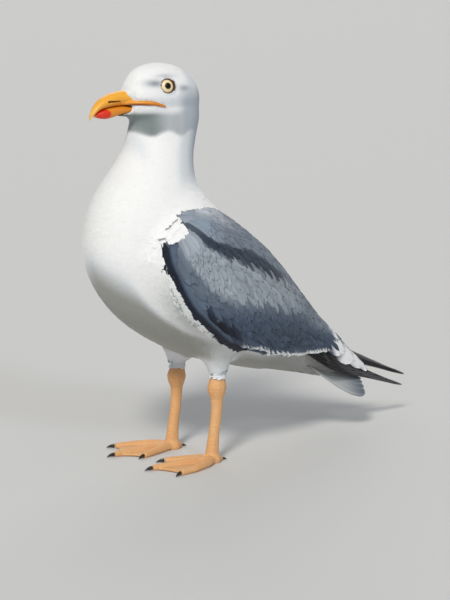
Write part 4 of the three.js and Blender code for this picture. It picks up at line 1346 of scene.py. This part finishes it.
# The six tertials, from the longest: t, v, length, width and depth of the white tip.
TERTIALS = np.array([
    (0.99, 0.5, 92, 17, 0.34), (0.965, 0.62, 92, 21, 0.33), (0.93, 0.72, 88, 23, 0.3),
    (0.885, 0.68, 84, 24, 0.2), (0.84, 0.45, 78, 24, 0.12), (0.79, 0.3, 70, 23, 0.06),
])
for side, label in ((1, "left"), (-1, "right")):
    sheet = wing_sheet(side)
    t, v = seed.uniform(0, 0.72, 9000), seed.uniform(-0.02, 0.9, 9000)
    gaps = 3.9 + 2.0 * np.clip((t - 0.12) / 0.4, 0, 1)
    kept = spread_out(np.stack([t * WING_SPAN, v * WING_DEPTH, 0 * t], 1), gaps)
    small_t, small_v = t[kept], v[kept]
    is_scapular = small_v < scapular_edge(small_t)
    is_covert = ~is_scapular & (small_t > 0.03 + 0.07 * ease(0.5, 0.9, small_v))
    is_covert &= small_v < np.interp(small_t, COVERTS_END_T, COVERTS_END_V)
    tracts = []

    # Small and middle coverts.
    t, v = small_t[is_covert], small_v[is_covert]
    growth = ease(0.1, 0.5, t)
    lengths = (20 + 14 * growth) * seed.uniform(0.85, 1.2, len(t))
    heading = (0.45 - 0.12 * growth) * (1 - ease(0.6, 0.9, v) * ease(0.55, 0.3, t))
    heading += seed.normal(0, 0.04, len(t))
    tracts.append(tract(sheet, t, v, heading, lengths, 7.5 + 1.5 * growth, -1.1, 0.45, ragged=0.07,
                        girth=POINTED_GIRTH))

    # Scapulars.
    t, v = small_t[is_scapular], small_v[is_scapular]
    growth = ease(0.05, 0.5, t)
    lengths = (24 + 18 * growth) * seed.uniform(0.9, 1.15, len(t))
    heading = 0.2 + 0.16 * (1 - growth) + seed.normal(0, 0.04, len(t))
    tracts.append(tract(sheet, t, v, heading, lengths, 8.5 + 4.5 * growth, -0.8, 0.9, ragged=0.06,
                        girth=POINTED_GIRTH))

    # Greater coverts.
    for first, last, count, upper, fall, length, wide, high in GREATER_COVERTS:
        t = np.linspace(first, last, count) + seed.uniform(-0.004, 0.004, count)
        v = upper - fall * ease(0.6, 0.84, t) + seed.uniform(-0.03, 0.02, count)
        heading = 0.32 + seed.normal(0, 0.04, count)
        lengths = length * seed.uniform(0.9, 1.1, count)
        tracts.append(tract(sheet, t, v, heading, lengths, wide, -1.9, high, backwards=True, streak=0.2,
                            ragged=0.05, girth=POINTED_GIRTH))

    # Secondaries.
    t = np.linspace(0.48, 0.86, 40)
    v = np.interp(t, ENDS_T, ENDS_V) + seed.uniform(-0.006, 0.006, 40)
    tracts.append(tract(sheet, t, v, 0.3, 62.0, 8.0, -2.2, -0.7, white_tip=0.03 + 0.055 * ease(0.48, 0.72, t),
                        backwards=True, streak=0.08, ragged=0.02))

    # Tertials.
    t, v, lengths, widths, white_tip = TERTIALS.T
    low, high = np.linspace(-1.6, -0.4, 6), np.linspace(-0.4, 1.0, 6)
    tracts.append(tract(sheet, t, v, 0.1, lengths, widths, low, high, white_tip=white_tip, backwards=True,
                        streak=0.05))

    vertices, shares, normals, colours, bake, sizes = map(np.concatenate, zip(*tracts))
    feathers = vane_piece(
        "wing_feathers_" + label, wing_finish, vertices, TURNED_FACES, shares, VANE_ACROSS, colours,
        bake, sizes, normals, soft=0.45,
    )
    show(feathers, "grey_plumage", "tertials_" + label)

# ---- Primaries ----
# The long stiff flight feathers of the wing's tip, black with thin worn pale edges. Their points lie
# in steps one over another, and the right wing's cross over the left's.
PRIMARIES = {
    1: [((-98, 27, 96), (-84, 39, 82), 4), ((-128, 19, 86), (-118, 33, 71), 5),
        ((-157, 9, 73), (-150, 23, 58), 4), ((-192, 0, 57), (-188, 12, 48), 2),
        ((-230, -4, 42), (-228, 5, 36), 1), ((-259, -4, 30), (-258, -1, 28), 0.3)],
    -1: [((-98, -27, 98), (-84, -39, 84), 4), ((-128, -19, 92), (-118, -33, 77), 5),
         ((-157, -8, 84), (-150, -23, 70), 4), ((-192, 0, 70), (-188, -12, 60), 2),
         ((-230, 4, 54), (-228, -5, 48), 1), ((-256, 5, 42), (-255, 2, 40), 0.3)],
}
PRIMARY_REACH = [1.0, 0.93, 0.83, 0.74, 0.65, 0.57]
PRIMARY_LENGTH = 165


def long_vane(upper, lower, out, lift, thick):
    """The vertices of a vane between two edges, for VANE_FACES."""
    middle, half = (upper + lower) / 2, (lower - upper) / 2
    spot = middle[:, None] + half[:, None] * RING_ACROSS[None, :, None]
    rise = lift + SHAFT_RISE - thick * RING_UNDER - 0.35 * RING_ACROSS**2
    return (spot + out[:, None] * rise[None, :, None]).reshape(-1, 3)


# Black primaries are the hardest and smoothest feathers, with a dull gloss that shows their shafts.
black_finish = feather_finish("black_primaries", rough=0.5, sheen=0.1, barb_depth=0.2)
BLACK, WORN = linear("#17141B"), linear("#A9A6AE")
VANE_OVER = np.tile(1 - RING_UNDER, 9)
for side, label in ((1, "left"), (-1, "right")):
    stations = np.array([[*upper, *lower, bulge] for upper, lower, bulge in PRIMARIES[side]], float)
    vertices = []
    for i, reach in enumerate(PRIMARY_REACH):
        along = VANE_ALONG * reach
        line = smooth_curve(stations, along)
        upper, lower = line[:, :3], line[:, 3:6]
        middle = (upper + lower) / 2
        ahead = unit(np.gradient(middle, axis=0))
        out = unit(np.cross(upper - lower, ahead))
        out *= np.sign(out @ np.array([0, side, 0.6]))[:, None]
        middle = middle + out * line[:, 6:7]
        # Each lies a step higher on the wing than the last, and their roots tuck in under the tertials.
        drop = 0.24 - 0.13 * i
        chord = lower - upper
        tucked = ease(0.3, 0.0, along)[:, None]
        centre = middle + chord * (drop * (1 - 0.6 * along[:, None]) - 0.6 * tucked) - 3 * out * tucked
        half = chord * (0.36 - 0.02 * i) * np.minimum(VANE_GIRTH * 1.05, 1)[:, None]
        if i == 0:
            half[-3:] = chord[-3:] * np.array([0.42, 0.36, 0.2])[:, None]
        vertices.append(long_vane(centre - half, centre + half, out, 0.55 * i - 0.4, 0.5))
    edge = ease(0.93, 1.0, np.abs(VANE_ACROSS)) * VANE_OVER * ease(0.5, 0.8, VANE_SHARES)
    worn = 0.5 * np.maximum(edge, ease(0.955, 0.985, VANE_SHARES))
    vertices, each = np.array(vertices), (len(PRIMARY_REACH), 1)
    feathers = vane_piece(
        "primary_feathers_" + label, black_finish, vertices, VANE_FACES if side > 0 else TURNED_FACES,
        np.tile(VANE_SHARES, each), VANE_ACROSS, np.tile(layered(BLACK, (WORN, worn)), (*each, 1)),
        bake_places(vertices[:, ROOT]), np.array([(PRIMARY_LENGTH * reach, 14) for reach in PRIMARY_REACH]),
    )
    show(feathers, "black_plumage", "primaries_" + label)

# ---- Tail ----
# Twelve broad white tail feathers, closed into a fan that is arched like a roof tile, with the middle
# pair uppermost, and turned a little so that its left side hangs lower. Their grey white, deepening to
# blue grey towards the tips, is painted shade; their edges are left white.
TAIL = [(-100, 91, 20, 8), (-130, 76, 22, 15), (-156, 63, 25, 20), (-178, 54, 26, 21), (-194, 48, 21, 17)]
TAIL_TWIST = 0.22
TAIL_FEATHERS = 12
# White tail feathers are firm and chalky: matt, with the barbs just plain to see.
tail_finish = feather_finish("white_tail_feathers", rough=0.7, sheen=0.2, barb_depth=0.2)
vertices = []
for i in range(TAIL_FEATHERS):
    place = (i - 5.5) / 5.5
    out_share = abs(place)
    along = VANE_ALONG * (0.97 - 0.06 * out_share**2)
    x, z, half, arch = smooth_curve(TAIL, along).T
    x = x - 3 * ease(0.8, 1.0, along) * (1 - out_share)
    aside = 0.84 * place + 0.2 * VANE_GIRTH[:, None] * RING_ACROSS[None]
    y = half[:, None] * aside
    fall = 0.72 * arch[:, None] * aside**2 + TAIL_TWIST * y
    layer = 1.5 * (1 - out_share) - 0.5 * RING_UNDER - 0.25 * RING_ACROSS**2 + SHAFT_RISE
    vertices.append(np.stack([x[:, None] + 0 * y, y, z[:, None] - fall + layer], 2).reshape(-1, 3))
# Painted shade: grey white over each feather, deepening to blue grey towards its tip, with white edges.
tail_tone = layered(
    linear("#B7BABB"),
    (linear("#566472"), ease(0.45, 0.95, VANE_SHARES)),
    (SNOW, 0.5 * (np.abs(VANE_ACROSS) > 0.9) * ease(0.3, 0.7, VANE_SHARES)),
)
vertices, each = np.array(vertices), (TAIL_FEATHERS, 1)
feathers = vane_piece(
    "tail_feathers", tail_finish, vertices, VANE_FACES, np.tile(VANE_SHARES, each), VANE_ACROSS,
    np.tile(tail_tone, (*each, 1)), bake_places(vertices[:, ROOT]), np.tile([92.0, 12.0], each),
)
show(feathers, "white_plumage", "tail")

# ---- Floor ----
# A wide plain matt floor in pale neutral grey, swept clean. It runs on for 140 metres each way, so that
# its edges never show.
floor_shape = bmesh.new()
bmesh.ops.create_grid(floor_shape, x_segments=1, y_segments=1, size=140)
floor_mesh = mesh_of(floor_shape, "floor")
# Matt paint: it takes a soft shadow under the feet and gives no reflection.
floor_material, _, _ = new_material("matt_floor", Roughness=0.85, Base_Color=opaque("#D3D4D4"))
floor_mesh.materials.append(floor_material)
in_scene("floor", floor_mesh)

# ---- Light and camera ----
# Soft studio light: a large key over the bird's breast, a broad fill from its other side, and a pale
# even surrounding. The camera looks from the bird's left front, a little above its head.
CAMERA = (933.24, 1239.81, 414.77)
TOWARDS = unit(np.array([-0.6063, -0.7760, -0.1736]))
AIM = np.array([-45.0, 0.0, 165.0])
for name, place, strength, spread, colour in (
    ("key", (620, 520, 900), 2.0, 12, "#FFF9F0"),
    ("fill", (130, 1120, 960), 0.4, 11, "#EAF2FF"),
    ("rim", (-700, -900, 900), 0.5, 40, "#FFFFFF"),
):
    light = bpy.data.lights.new(name, "SUN")
    light.energy, light.color, light.angle = strength, linear(colour), math.radians(spread)
    lamp = in_scene(name, light)
    lamp.location = metres(place)
    lamp.rotation_euler = Vector(AIM - place).to_track_quat("-Z", "Y").to_euler()

# The surrounding is half as bright overhead as at the horizon, so that it fills the bird's sides.
world = bpy.data.worlds.new("surrounding")
world.use_nodes = True
backing = world.node_tree.nodes["Background"]
direction = node(world.node_tree, "ShaderNodeTexCoord").outputs["Generated"]
height = node(world.node_tree, "ShaderNodeSeparateXYZ", links={"Vector": direction}).outputs["Z"]
dimming = node(world.node_tree, "ShaderNodeMapRange",
               links={"Value": height, "From Max": 0.35, "To Min": 0.72, "To Max": 0.36})
world.node_tree.links.new(dimming.outputs["Result"], backing.inputs["Strength"])
backing.inputs["Color"].default_value = opaque("#EEF0F2")
bpy.context.scene.world = world
bpy.context.scene.view_settings.view_transform = "Standard"

lens = bpy.data.cameras.new("camera")
lens.lens = 106.67
camera = in_scene("camera", lens)
camera.location = metres(CAMERA)
camera.rotation_euler = Vector(TOWARDS).to_track_quat("-Z", "Y").to_euler()
bpy.context.scene.camera = camera
